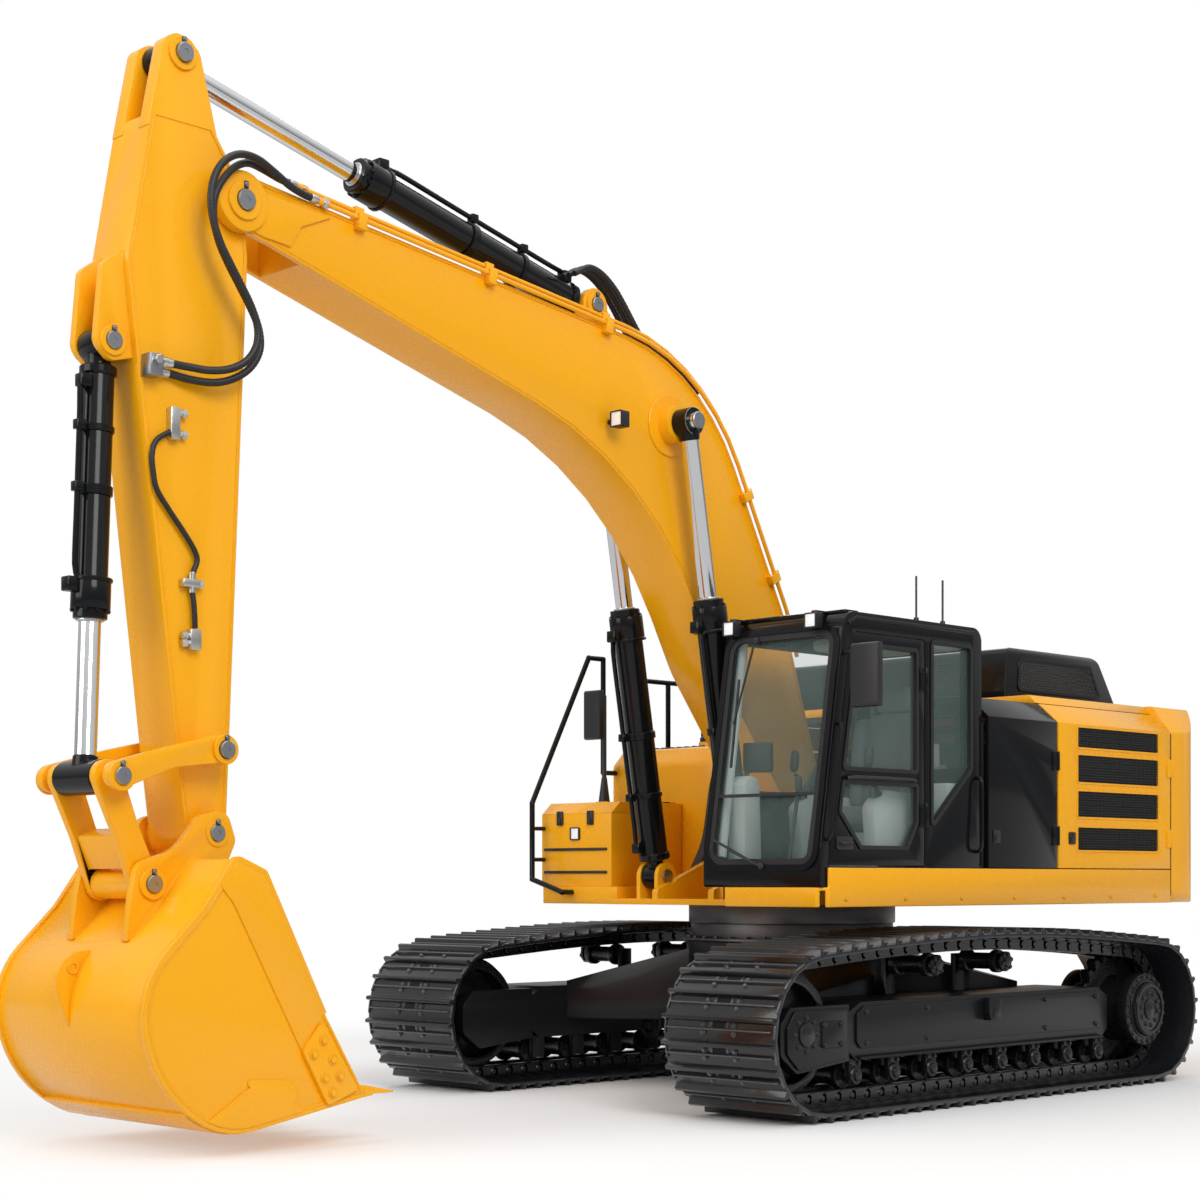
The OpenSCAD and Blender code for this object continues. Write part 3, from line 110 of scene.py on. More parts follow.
def corner_arc(a, b, c, r):
    """Points of the arc of radius r that rounds corner b."""
    u, v = (a - b).normalized(), (c - b).normalized()
    half = math.acos(max(-1, min(1, u.dot(v)))) / 2
    mid = b + (u + v).normalized() * r / math.sin(half)
    s, e = b + u * r / math.tan(half) - mid, b + v * r / math.tan(half) - mid
    start = math.atan2(s.y, s.x)
    turn = math.atan2(s.x * e.y - s.y * e.x, s.dot(e))
    n = max(2, math.ceil(abs(math.degrees(turn)) / 9 - 0.01))
    return [mid + r * Vector((math.cos(start + turn * i / n), math.sin(start + turn * i / n))) for i in range(n + 1)]


def rounded(corners):
    """Outline through corners (x, z, radius)."""
    points, n = [], len(corners)
    for i, (_, _, r) in enumerate(corners):
        a, b, c = (Vector(corners[(i + k) % n][:2]) for k in (-1, 0, 1))
        points += corner_arc(a, b, c, r) if r > 0 else [b]
    return points


def inset(corners, d):
    """Counter-clockwise corner list moved inwards by d."""
    out, n = [], len(corners)
    for i in range(n):
        a, b, c = (Vector(corners[(i + k) % n][:2]) for k in (-1, 0, 1))
        u, v = (b - a).normalized(), (c - b).normalized()
        m, k = Vector((-u.y, u.x)), Vector((-v.y, v.x))
        p = b + (m + k) * d / (1 + m.dot(k))
        convex = u.x * v.y - u.y * v.x > 0
        r = corners[i][2]
        out.append((p.x, p.y, 0 if r == 0 else max(0.001, r - d) if convex else r + d))
    return out


def at(p, dx, dz, r=0):
    """Corner (x, z, radius) at an offset from a place."""
    return (p.x + dx, p.y + dz, r)


def front_x(z):
    """X of the cab's front face at height z; it leans back above the knee."""
    return CAB_FRONT if z < CAB_KNEE else CAB_FRONT - CAB_RAKE * (z - CAB_KNEE) / (CAB_TOP - CAB_KNEE)


QUARTER = [(DOOR_BACK - 0.07, BELT_Z - 0.33, 0.025), (DOOR_BACK - 0.07, HEAD_Z, 0.03),
           (CAB_BACK + 0.11, HEAD_Z, 0.04), (CAB_BACK + 0.11, BELT_Z + 0.06, 0.06)]
SIDE_PANE = [(CAB_BACK + 0.12, BELT_Z - 0.1, 0.06), (front_x(BELT_Z) - 0.11, BELT_Z - 0.1, 0.06),
             (front_x(HEAD_Z) - 0.11, HEAD_Z, 0.08), (CAB_BACK + 0.12, HEAD_Z, 0.06)]
DOOR_TOP_PANE = [(DOOR_BACK + 0.075, BELT_Z + 0.02, 0.025), (front_x(BELT_Z) - PILLAR - 0.065, BELT_Z + 0.02, 0.025),
                 (front_x(HEAD_Z) - PILLAR - 0.065, HEAD_Z - 0.07, 0.07), (DOOR_BACK + 0.075, HEAD_Z - 0.07, 0.025)]
DOOR_LOW_PANE = [(DOOR_BACK + 0.18, SILL_Z + 0.09, 0.025), (front_x(1.7) - PILLAR - 0.3, SILL_Z + 0.09, 0.025),
                 (front_x(1.7) - PILLAR - 0.09, 1.83, 0.025), (front_x(BELT_Z) - PILLAR - 0.065, BELT_Z - 0.05, 0.025),
                 (DOOR_BACK + 0.075, BELT_Z - 0.05, 0.025), (DOOR_BACK + 0.075, 1.78, 0.025)]
BOOM_CORNERS = [at(NOSE, -0.06, 0.15, 0.06), at(FOOT, 1.132, 2.867, 1.35), at(FOOT, 0.288, 1.315, 0.6),
                at(FOOT, -0.15, 0.06, 0.1), at(FOOT, -0.12, -0.15, 0.1), at(FOOT, 0.15, -0.11, 0.1),
                at(FOOT, 0.96, 0.9, 0.9), at(FOOT, 1.65, 2.135, 2.4), at(NOSE, -0.19, -0.185, 0.06),
                at(NOSE, 0.09, -0.13, 0.12), at(NOSE, 0.13, 0.12, 0.12)]
STICK_CORNERS = [at(BUCKET_PIN, -0.135, 0.06, 0.06), at(BUCKET_PIN, -0.06, -0.125, 0.06),
                 at(BUCKET_PIN, 0.11, -0.09, 0.07), at(BUCKET_PIN, 0.18, 0.44, 0.2), at(NOSE, 0.685, -0.42, 0.3),
                 at(CROWD_ROD, 0.19, -0.34, 0.03), at(CROWD_ROD, -0.19, -0.34, 0.03), at(NOSE, -0.045, 0.08, 0.2),
                 at(NOSE, -0.075, -0.295, 0.4)]
BUCKET_CORNERS = [at(BUCKET_PIN, -0.655, -1.392), at(BUCKET_PIN, 0.27, -1.549, 0.48),
                  at(BUCKET_PIN, 0.64, -1.29, 0.64), at(BUCKET_PIN, 0.795, -0.8, 0.44),
                  at(BUCKET_PIN, 0.375, -0.392, 0.2), at(BUCKET_PIN, 0.18, -0.13, 0.04),
                  at(BUCKET_PIN, 0, -0.206, 0.03), at(BUCKET_PIN, -0.386, -0.951, 0.06)]

# Hose routes, the same points as in the solids
NEAR_HOSE = [(4.38, 0.235, 5.158), (4.47, 0.236, 5.168), (4.58, 0.252, 5.19), (4.7, 0.276, 5.23), (4.83, 0.3, 5.265),
             (4.96, 0.32, 5.255), (5.07, 0.336, 5.19), (5.14, 0.346, 5.09), (5.165, 0.35, 4.975), (5.15, 0.35, 4.86),
             (5.105, 0.35, 4.75), (5.04, 0.35, 4.65), (4.97, 0.35, 4.55), (4.905, 0.35, 4.45), (4.865, 0.35, 4.35),
             (4.87, 0.345, 4.25), (4.925, 0.332, 4.165), (5.015, 0.308, 4.112), (5.12, 0.28, 4.092),
             (5.23, 0.25, 4.096), (5.32, 0.236, 4.1), (5.399, 0.236, 4.1)]
FAR_HOSE = [(4.5, 0.194, 5.221), (4.6, 0.195, 5.232), (4.74, 0.222, 5.25), (4.86, 0.256, 5.246), (4.97, 0.284, 5.19),
            (5.06, 0.298, 5.095), (5.108, 0.3, 4.995), (5.112, 0.3, 4.885), (5.08, 0.3, 4.775), (5.02, 0.3, 4.67),
            (4.95, 0.3, 4.57), (4.88, 0.3, 4.47), (4.822, 0.3, 4.365), (4.812, 0.3, 4.255), (4.862, 0.295, 4.155),
            (4.955, 0.28, 4.08), (5.07, 0.255, 4.04), (5.2, 0.22, 4.04), (5.32, 0.2, 4.055), (5.399, 0.2, 4.055)]


# Settings that a user would change


class ExcavatorPaint(bpy.types.PropertyGroup):
    """Colours of the machine's finishes"""

    yellow: FloatVectorProperty(name="Yellow", description="Body paint", subtype="COLOR", size=3,
                                default=(0.95, 0.425, 0.005), min=0, max=1)
    black: FloatVectorProperty(name="Black", description="Cab, cylinder and cover paint", subtype="COLOR", size=3,
                               default=(0.006, 0.0065, 0.0075), min=0, max=1)
    chassis: FloatVectorProperty(name="Chassis", description="Undercarriage paint", subtype="COLOR", size=3,
                                 default=(0.008, 0.0085, 0.010), min=0, max=1)
    glass: FloatVectorProperty(name="Glass", description="Tint of the panes", subtype="COLOR", size=3,
                               default=(0.26, 0.38, 0.34), min=0, max=1)
    trim: FloatVectorProperty(name="Cab trim", description="Moulded trim in the cab", subtype="COLOR", size=3,
                              default=(0.44, 0.50, 0.48), min=0, max=1)


class ExcavatorSizes(bpy.types.PropertyGroup):
    """Sizes of the added details"""

    edge: FloatProperty(name="Edge radius", description="Rounding of plate edges", default=0.007, min=0.001, max=0.02,
                        unit="LENGTH")
    bolt: FloatProperty(name="Bolt radius", description="Radius of a hexagon head", default=0.016, min=0.006,
                        max=0.03, unit="LENGTH")
    wire: FloatProperty(name="Mesh wire", description="Radius of the grille mesh's wire", default=0.0022, min=0.001,
                        max=0.005, unit="LENGTH")
    mesh_pitch: FloatProperty(name="Mesh pitch", description="Spacing of the grille mesh", default=0.018, min=0.01,
                              max=0.05, unit="LENGTH")
    hose: FloatProperty(name="Hose diameter", description="Outside diameter of the stick's hoses", default=0.042,
                        min=0.02, max=0.06, unit="LENGTH")
    drive_bolts: IntProperty(name="Drive cover bolts", description="Bolts round the final drive's cover", default=20,
                             min=8, max=32)


class ExcavatorStudio(bpy.types.PropertyGroup):
    """Studio floor and light"""

    floor: FloatVectorProperty(name="Floor", description="Colour of the floor", subtype="COLOR", size=3,
                               default=(0.93, 0.93, 0.93), min=0, max=1)
    fade: FloatProperty(name="Fade", description="Distance at which the floor has turned white", default=8.5, min=6,
                        max=40, unit="LENGTH")
    ambient: FloatProperty(name="Ambient", description="Strength of the light from all round", default=0.52, min=0,
                           max=2)
    power: FloatProperty(name="Lamp power", description="Share of the lamps' full power", default=0.55, min=0.1, max=2)


class ExcavatorSettings(bpy.types.PropertyGroup):
    """All settings of the dressing"""

    paint: PointerProperty(type=ExcavatorPaint)
    sizes: PointerProperty(type=ExcavatorSizes)
    studio: PointerProperty(type=ExcavatorStudio)


def settings():
    return bpy.context.scene.excavator


# Node and shader writing


def joined(tree, kind, options=None, values=None):
    """Adds a node, sets its options, then its inputs from values and from other nodes' sockets."""
    made = tree.nodes.new(kind)
    for key, value in (options or {}).items():
        setattr(made, key, value)
    for key, value in (values or {}).items():
        if isinstance(value, bpy.types.NodeSocket):
            tree.links.new(value, made.inputs[key])
        else:
            made.inputs[key].default_value = value
    return made


class Wire:
    """A shader socket that adds Math nodes when used in an expression."""

    def __init__(self, sheet, socket):
        self.sheet = sheet
        self.socket = socket

    def maths(self, operation, *others):
        return self.sheet.node("ShaderNodeMath", {"operation": operation}, [self, *others]).out(0)

    def __add__(self, other):
        return self.maths("ADD", other)

    __radd__ = __add__

    def __mul__(self, other):
        return self.maths("MULTIPLY", other)

    __rmul__ = __mul__

    def __sub__(self, other):
        return self.maths("SUBTRACT", other)

    def __rsub__(self, other):
        return self.sheet.node("ShaderNodeMath", {"operation": "SUBTRACT"}, [other, self]).out(0)

    def power(self, other):
        return self.maths("POWER", other)

    def limited(self):
        return self.maths("MAXIMUM", 0.0).maths("MINIMUM", 1.0)


class Made:
    """A node that was just added, read by the name or number of its outputs."""

    def __init__(self, sheet, node):
        self.sheet = sheet
        self.bare = node

    def out(self, key):
        return Wire(self.sheet, self.bare.outputs[key])


class ShaderSheet:
    """The node tree of one material or of the world."""

    def __init__(self, owner):
        self.owner = owner
        owner.use_nodes = True
        self.tree = owner.node_tree
        self.tree.nodes.clear()

    def node(self, kind, options=None, values=None):
        """Adds a node; values is a list or a dict of plain values and wires."""
        pairs = values.items() if isinstance(values, dict) else enumerate(values or [])
        bare = {key: value.socket if isinstance(value, Wire) else value for key, value in pairs}
        return Made(self, joined(self.tree, kind, options, bare))

    def blend(self, amount, first, second):
        """Colour mix; first and second are colours or wires."""
        return self.node("ShaderNodeMix", {"data_type": "RGBA"}, {0: amount, 6: first, 7: second}).out(2)

    def noise(self, place, scale, detail=3.0, rough=0.5):
        return self.node("ShaderNodeTexNoise", None,
                         {"Vector": place, "Scale": scale, "Detail": detail, "Roughness": rough}).out(0)

    def close(self, shader, end="ShaderNodeOutputMaterial"):
        self.node(end, None, {"Surface": shader})
        return self.owner


def new_sheet(name):
    """A new material's sheet and the wire of its object coordinates."""
    sheet = ShaderSheet(bpy.data.materials.new(name))
    return sheet, sheet.node("ShaderNodeTexCoord").out("Object")


def straight(path):
    """Rays that the camera sends straight or through glass, read from a Light Path node."""
    return path.out("Is Camera Ray").maths("MAXIMUM", path.out("Is Transmission Ray"))


def rgba(colour):
    return (*colour, 1.0)


def painted(name, colour, rough, coat, dust=0.0, grain=0.0, shine=0.5):
    """Sprayed paint: slight tone drift, orange peel, rounded edges and a breath of dust on low, level faces."""
    sheet, place = new_sheet(name)
    drift = sheet.noise(place, 0.9, 2.0)
    fine = sheet.noise(place, 46.0, 4.0, 0.6)
    base = sheet.blend((drift - 0.35) * 0.28, rgba(colour), rgba([c * 0.86 for c in colour]))
    if dust:
        normal = sheet.node("ShaderNodeNewGeometry").out("Normal")
        facing = sheet.node("ShaderNodeSeparateXYZ", None, [normal]).out(2)
        cloud = sheet.noise(place, 5.0, 5.0, 0.62)
        film = (facing.limited() * 0.6 + 0.25) * cloud.power(2.0) * dust
        base = sheet.blend(film.limited(), base, (0.34, 0.29, 0.22, 1.0))
    peel = sheet.noise(place, 170.0, 2.0)
    if grain:
        peel = peel * 0.4 + sheet.noise(place, 28.0, 5.0, 0.7) * grain
    round_edge = sheet.node("ShaderNodeBevel", {"samples": 4}, {"Radius": 0.006}).out(0)
    bump = sheet.node("ShaderNodeBump", None, {"Strength": 0.018 + 0.2 * grain, "Distance": 0.004, "Height": peel,
                                               "Normal": round_edge}).out(0)
    shader = sheet.node("ShaderNodeBsdfPrincipled", None, {
        "Base Color": base, "Roughness": fine * 0.08 + (rough - 0.04), "Coat Weight": coat, "Coat Roughness": 0.06,
        "Specular IOR Level": shine, "Normal": bump}).out(0)
    return sheet.close(shader)


def bare_metal(name, colour, rough, streak=0.25, dark=0.6):
    """Metal with faint machining streaks and tarnish."""
    sheet, place = new_sheet(name)
    fine = sheet.noise(place, 90.0, 4.0, 0.6)
    cloud = sheet.noise(place, 7.0, 4.0)
    base = sheet.blend((cloud - 0.3) * 0.7, rgba(colour), rgba([c * dark for c in colour]))
    bump = sheet.node("ShaderNodeBump", None, {"Strength": 0.08, "Distance": 0.002, "Height": fine}).out(0)
    shader = sheet.node("ShaderNodeBsdfPrincipled", None, {
        "Base Color": base, "Metallic": 1.0, "Roughness": (fine - 0.5) * streak + rough, "Normal": bump}).out(0)
    return sheet.close(shader)


def moulded(name, colour, rough, scale=240.0, depth=0.12):
    """Moulded plastic or rubber with a fine grain."""
    sheet, place = new_sheet(name)
    grain = sheet.noise(place, scale, 3.0, 0.6)
    cloud = sheet.noise(place, 6.0, 3.0)
    base = sheet.blend((cloud - 0.3) * 0.5, rgba(colour), rgba([c * 0.75 for c in colour]))
    bump = sheet.node("ShaderNodeBump", None, {"Strength": depth, "Distance": 0.002, "Height": grain}).out(0)
    shader = sheet.node("ShaderNodeBsdfPrincipled", None, {
        "Base Color": base, "Roughness": (grain - 0.5) * 0.15 + rough, "Normal": bump}).out(0)
    return sheet.close(shader)


def pane(name, colour, cover):
    """Tinted safety glass, with a faint film of dust in its cover."""
    sheet, place = new_sheet(name)
    film = sheet.noise(place, 3.0, 3.0)
    shader = sheet.node("ShaderNodeBsdfPrincipled", None, {
        "Base Color": rgba(colour), "Roughness": 0.03, "IOR": 1.5, "Coat Weight": 1.0,
        "Alpha": film * 0.05 + cover}).out(0)
    return sheet.close(shader)


def lens(name, colour, glow):
    """Ribbed lamp lens with a faint glow of its own: painted light, as no lamp shines in it."""
    sheet, place = new_sheet(name)
    ribs = sheet.node("ShaderNodeTexWave", {"bands_direction": "Y"}, {"Vector": place, "Scale": 28.0}).out(1)
    bump = sheet.node("ShaderNodeBump", None, {"Strength": 0.35, "Distance": 0.003, "Height": ribs}).out(0)
    shader = sheet.node("ShaderNodeBsdfPrincipled", None, {
        "Base Color": rgba(colour), "Roughness": 0.08, "Coat Weight": 1.0, "Normal": bump,
        "Emission Color": rgba(colour), "Emission Strength": glow}).out(0)
    return sheet.close(shader)


@cache
def finish_of(key):
    """The material of that key, made on first use."""
    paint = settings().paint
    recipes = {
        "yellow": lambda: painted("yellow_gloss", list(paint.yellow), 0.27, 0.20, dust=0.02, shine=0.26),
        "cast_yellow": lambda: painted("yellow_on_casting", list(paint.yellow), 0.32, 0.24, 0.03, 0.5, 0.32),
        "black": lambda: painted("black_gloss", list(paint.black), 0.17, 0.20, shine=0.14),
        "chassis": lambda: painted("chassis_black", list(paint.chassis), 0.34, 0.10, 0.02, 0.3, 0.26),
        "track": lambda: painted("track_black", [0.009, 0.0095, 0.0115], 0.23, 0.25, 0.01, 0.4, 0.45),
        # Same black steel as the track, lightened for bars, hole lips and shoe bolts: painted highlight
        "bar": lambda: painted("bar_black", [0.048, 0.050, 0.058], 0.20, 0.30, 0.01, 0.4, 0.70),
        "roller": lambda: painted("roller_black", [0.010, 0.0104, 0.0120], 0.28, 0.14, 0.02, 0.4, 0.34),
        "ring": lambda: bare_metal("ring_steel", (0.16, 0.16, 0.165), 0.42),
        "pin": lambda: bare_metal("pin_steel", (0.36, 0.37, 0.39), 0.36),
        "fitting": lambda: bare_metal("plated_fitting", (0.62, 0.62, 0.60), 0.28),
        "chrome": lambda: bare_metal("rod_chrome", (0.78, 0.79, 0.81), 0.10, 0.08, 0.85),
        "alloy": lambda: bare_metal("cast_alloy", (0.30, 0.31, 0.32), 0.5),
        "rubber": lambda: moulded("hose_rubber", (0.010, 0.010, 0.011), 0.48),
        "seal": lambda: moulded("window_seal", (0.008, 0.008, 0.009), 0.55),
        "plastic": lambda: moulded("black_plastic", (0.014, 0.014, 0.016), 0.42),
        "trim": lambda: moulded("cab_trim", list(paint.trim), 0.6, 180.0, 0.03),
        # Cloth colour lightened above its own to make up for the dim light in the cab: painted light
        "seat": lambda: moulded("seat_cloth", (0.135, 0.158, 0.162), 0.85, 420.0, 0.20),
        "mesh": lambda: moulded("grille_mesh", (0.012, 0.011, 0.010), 0.5),
        # Near-black for painted shade behind the grilles and in the shoes' mud holes, and for the counterweight's dark
        # joint lines
        "dark": lambda: moulded("inner_dark", (0.004, 0.004, 0.004), 0.8),
        "glass": lambda: pane("tinted_glass", list(paint.glass), 0.085),
        "mirror": lambda: bare_metal("mirror_face", (0.75, 0.77, 0.78), 0.04, 0.02, 0.95),
        # Lamp lenses glow a little though no lamp is lit in them: painted light
        "lens": lambda: lens("lamp_lens", (0.86, 0.88, 0.90), 0.25),
        "red": lambda: lens("red_lens", (0.55, 0.01, 0.01), 0.1),
    }
    return recipes[key]()


# Mesh writing

EDGE_STEPS = 2              # segments of a rounded edge
SHARP = math.radians(25)    # edges of added solids sharper than this are rounded
PLATE_SHARP = math.radians(35)
WELDED = 0.00005            # points of the solids closer than this are one


def linked(name, data):
    """New object with that data, in the scene."""
    made = bpy.data.objects.new(name, data)
    bpy.context.scene.collection.objects.link(made)
    return made


def plain(x, y, z):
    return Vector((x, y, z))


def axes(axis):
    """Unit axis with two unit directions across it."""
    axis = Vector(axis).normalized()
    side = axis.orthogonal().normalized()
    return axis, side, axis.cross(side)


def about(side, other, k, count):
    """Direction k of count round an axis."""
    a = 2 * math.pi * k / count
    return side * math.cos(a) + other * math.sin(a)


def tube_faces(rows, sides, closed=False):
    """Faces between rows of points, with end caps unless the last row meets the first."""
    faces = []
    for i in range(rows if closed else rows - 1):
        j = (i + 1) % rows
        for k in range(sides):
            m = (k + 1) % sides
            faces.append((i * sides + k, i * sides + m, j * sides + m, j * sides + k))
    if not closed:
        faces += [tuple(range(sides)), tuple(range((rows - 1) * sides, rows * sides))]
    return faces


def ribbed(r, waist=0.93):
    """Radius along a ribbed hose: every third ring is smaller."""
    return lambda i: r * (1.0 if i % 3 else waist)


def smooth_by_angle(mesh, degrees):
    for face in mesh.polygons:
        face.use_smooth = True
    mesh.set_sharp_from_angle(angle=math.radians(degrees))


def spline(points, step):
    """Smooth path through points, about step apart."""
    points = [Vector(p) for p in points]
    ends = [2 * points[0] - points[1]] + points + [2 * points[-1] - points[-2]]
    path = []
    for a, b, c, d in zip(ends, ends[1:], ends[2:], ends[3:]):
        n = max(1, round((c - b).length / step))
        for i in range(n):
            t = i / n
            path.append(0.5 * (2 * b + (c - a) * t + (2 * a - 5 * b + 4 * c - d) * t * t
                               + (3 * b - a - 3 * c + d) * t ** 3))
    return path + [points[-1]]


class Piece:
    """Solids of one finish on one body, gathered into a single mesh."""

    def __init__(self, name, body, slot, finish, smooth=32):
        self.name, self.body, self.slot, self.finish, self.smooth = name, body, slot, finish, smooth
        self.bm = bmesh.new()

    def shell(self, verts, faces, edge=0.0):
        """Adds a closed shell and rounds its sharp edges."""
        made = [self.bm.verts.new(v) for v in verts]
        new = [self.bm.faces.new([made[i] for i in f]) for f in faces]
        bmesh.ops.recalc_face_normals(self.bm, faces=new)
        if edge > 0:
            sharp = {e for f in new for e in f.edges if e.calc_face_angle(0) > SHARP}
            bmesh.ops.bevel(self.bm, geom=list(sharp), offset=edge, segments=EDGE_STEPS, profile=0.5, affect="EDGES",
                            clamp_overlap=True)
        return self

    def block(self, lo, hi, edge=0.004, turn=None):
        """Box between two corners, turned by a matrix about its middle."""
        corners = [Vector((x, y, z)) for x in (lo[0], hi[0]) for y in (lo[1], hi[1]) for z in (lo[2], hi[2])]
        if turn is not None:
            mid = (Vector(lo) + Vector(hi)) / 2
            corners = [mid + turn @ (c - mid) for c in corners]
        return self.shell(corners, [(0, 1, 3, 2), (4, 6, 7, 5), (0, 4, 5, 1), (2, 3, 7, 6), (0, 2, 6, 4), (1, 5, 7, 3)],
                          edge)

    def prism(self, outline, y0, y1, edge=0.0, place=plain):
        """X-Z outline from y0 to y1; place maps (x, y, z) to another spot."""
        n = len(outline)
        verts = [place(p[0], y, p[1]) for y in (y0, y1) for p in outline]
        faces = [tuple(range(n)), tuple(range(n, 2 * n))]
        faces += [(i, (i + 1) % n, n + (i + 1) % n, n + i) for i in range(n)]
        return self.shell(verts, faces, edge)

    def band(self, shape, outside, inside, y0, y1, place=plain):
        """Frame that follows a cornered outline, from outside it to inside it."""
        outer, inner = rounded(inset(shape, -outside)), rounded(inset(shape, inside))
        n = len(outer)
        verts = [place(p[0], y, p[1]) for y in (y0, y1) for line in (outer, inner) for p in line]
        faces = []
        for i in range(n):
            j = (i + 1) % n
            faces += [(i, j, n + j, n + i), (2 * n + i, 2 * n + j, 3 * n + j, 3 * n + i),
                      (i, j, 2 * n + j, 2 * n + i), (n + i, n + j, 3 * n + j, 3 * n + i)]
        return self.shell(verts, faces)

    def turned(self, p, axis, profile, sides=32):
        """Body of revolution about axis through p; profile is (distance along axis, radius), closed on the axis."""
        axis, side, other = axes(axis)
        verts = [Vector(p) + axis * d + about(side, other, k, sides) * r for d, r in profile for k in range(sides)]
        return self.shell(verts, tube_faces(len(profile), sides))

    def rod(self, p, q, r, sides=20, edge=0.003):
        """Round bar with softened ends."""
        p, q = Vector(p), Vector(q)
        length = (q - p).length
        edge = min(edge, r * 0.5, length * 0.4)
        return self.turned(p, q - p, [(0, r - edge), (edge, r), (length - edge, r), (length, r - edge)], sides)

    def ring(self, p, axis, r_in, r_out, h, sides=40, edge=0.003):
        """Flat ring with softened corners."""
        axis, side, other = axes(axis)
        loop = [(0, r_in), (0, r_out - edge), (edge, r_out), (h - edge, r_out), (h, r_out - edge), (h, r_in)]
        verts = [Vector(p) + axis * d + about(side, other, k, sides) * r for k in range(sides) for d, r in loop]
        return self.shell(verts, tube_faces(sides, len(loop), closed=True))

    def tube(self, path, r, sides=10, closed=False):
        """Round tube along a path; r may be a function of the ring's number."""
        path = [Vector(p) for p in path]
        n = len(path)
        radius = r if callable(r) else (lambda i: r)
        verts, side = [], None
        for i in range(n):
            if closed:
                before, after = path[i - 1], path[(i + 1) % n]
            else:
                before, after = path[max(i - 1, 0)], path[min(i + 1, n - 1)]
            t = (after - before).normalized()
            side = (t.orthogonal() if side is None else side - side.dot(t) * t).normalized()
            other = t.cross(side)
            verts += [path[i] + about(side, other, k, sides) * radius(i) for k in range(sides)]
        return self.shell(verts, tube_faces(n, sides, closed))

    def pad(self, middle, half, turn=None, soft=0.4, rings=14, sides=28):
        """Padded cushion: a box with round edges and swollen faces."""
        def bent(v):
            return math.copysign(abs(v) ** soft, v)
        spots = [Vector((0, 0, -half[2]))]
        for i in range(1, rings):
            a = math.pi * (i / rings - 0.5)
            for k in range(sides):
                b = 2 * math.pi * k / sides
                wide = bent(math.cos(a))
                spots.append(Vector((half[0] * wide * bent(math.cos(b)), half[1] * wide * bent(math.sin(b)),
                                     half[2] * bent(math.sin(a)))))
        spots.append(Vector((0, 0, half[2])))
        verts = [Vector(middle) + (turn @ v if turn is not None else v) for v in spots]
        top, faces = len(verts) - 1, []
        for k in range(sides):
            j = (k + 1) % sides
            faces += [(0, 1 + j, 1 + k), (top, top - sides + k, top - sides + j)]
            for i in range(rings - 2):
                faces.append((1 + i * sides + k, 1 + i * sides + j, 1 + (i + 1) * sides + j, 1 + (i + 1) * sides + k))
        return self.shell(verts, faces)

    def mirrored(self):
        """Adds the same solids on the machine's other side."""
        copy = bmesh.ops.duplicate(self.bm, geom=self.bm.verts[:] + self.bm.edges[:] + self.bm.faces[:])["geom"]
        for v in (g for g in copy if isinstance(g, bmesh.types.BMVert)):
            v.co.y = -v.co.y
        bmesh.ops.reverse_faces(self.bm, faces=[g for g in copy if isinstance(g, bmesh.types.BMFace)])
        return self

    def loose(self):
        """The solids as an object that is not yet on a body."""
        mesh = bpy.data.meshes.new(self.name)
        self.bm.to_mesh(mesh)
        self.bm.free()
        return linked(self.name, mesh)

    def done(self, *replaced):
        """The finished piece, which stands for the nodes named."""
        piece = self.loose()
        smooth_by_angle(piece.data, self.smooth)
        return settled(piece, self.body, self.slot, self.finish, replaced)


def settled(piece, body, slot, finish, replaced=()):
    """Gives a piece its finish and its place in the shared frame."""
    piece.data.materials.clear()
    piece.data.materials.append(finish_of(finish))
    if body:
        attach(piece, body)
    if replaced:
        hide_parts(*replaced)
    return piece


def softened(node, finish, edge=None, smooth=32):
    """A node's own shape with its plate edges rounded; it stands for the node."""
    source = frame["nodes"][node]
    bm = bmesh.new()
    bm.from_mesh(source.data)
    bmesh.ops.remove_doubles(bm, verts=bm.verts, dist=WELDED)
    bmesh.ops.dissolve_limit(bm, angle_limit=math.radians(0.5), verts=bm.verts, edges=bm.edges)
    mesh = bpy.data.meshes.new(node + "_dressed")
    bm.to_mesh(mesh)
    bm.free()
    piece = linked(mesh.name, mesh)
    width = settings().sizes.edge if edge is None else edge
    if width > 0:
        bevel = piece.modifiers.new("edges", "BEVEL")
        bevel.width = width
        bevel.segments = EDGE_STEPS
        bevel.limit_method = "ANGLE"
        bevel.angle_limit = PLATE_SHARP
        bevel.use_clamp_overlap = True
        plain_mesh(piece)
    smooth_by_angle(piece.data, smooth)
    return settled(piece, NODE_BODY[node], NODE_SLOT[node], finish, (node,))


def plain_mesh(piece):
    """Turns what the modifiers give into the piece's own mesh."""
    graph = bpy.context.evaluated_depsgraph_get()
    graph.update()
    mesh = bpy.data.meshes.new_from_object(piece.evaluated_get(graph), depsgraph=graph)
    old = piece.data
    piece.modifiers.clear()
    piece.data = mesh
    bpy.data.meshes.remove(old)


# Geometry Nodes for what repeats


def tree_of(name, inputs):
    """New geometry tree with named inputs; returns the tree, its input node and its output node."""
    tree = bpy.data.node_groups.new(name, "GeometryNodeTree")
    tree.interface.new_socket("Geometry", in_out="INPUT", socket_type="NodeSocketGeometry")
    for label, kind in inputs:
        tree.interface.new_socket(label, in_out="INPUT", socket_type=kind)
    tree.interface.new_socket("Geometry", in_out="OUTPUT", socket_type="NodeSocketGeometry")
    return tree, tree.nodes.new("NodeGroupInput"), tree.nodes.new("NodeGroupOutput")


def close_tree(tree, end, geometry, material):
    """Ends a tree with real, painted geometry."""
    real = joined(tree, "GeometryNodeRealizeInstances", None, {0: geometry})
    coloured = joined(tree, "GeometryNodeSetMaterial", None, {"Geometry": real.outputs[0], "Material": material})
    tree.links.new(coloured.outputs[0], end.inputs[0])


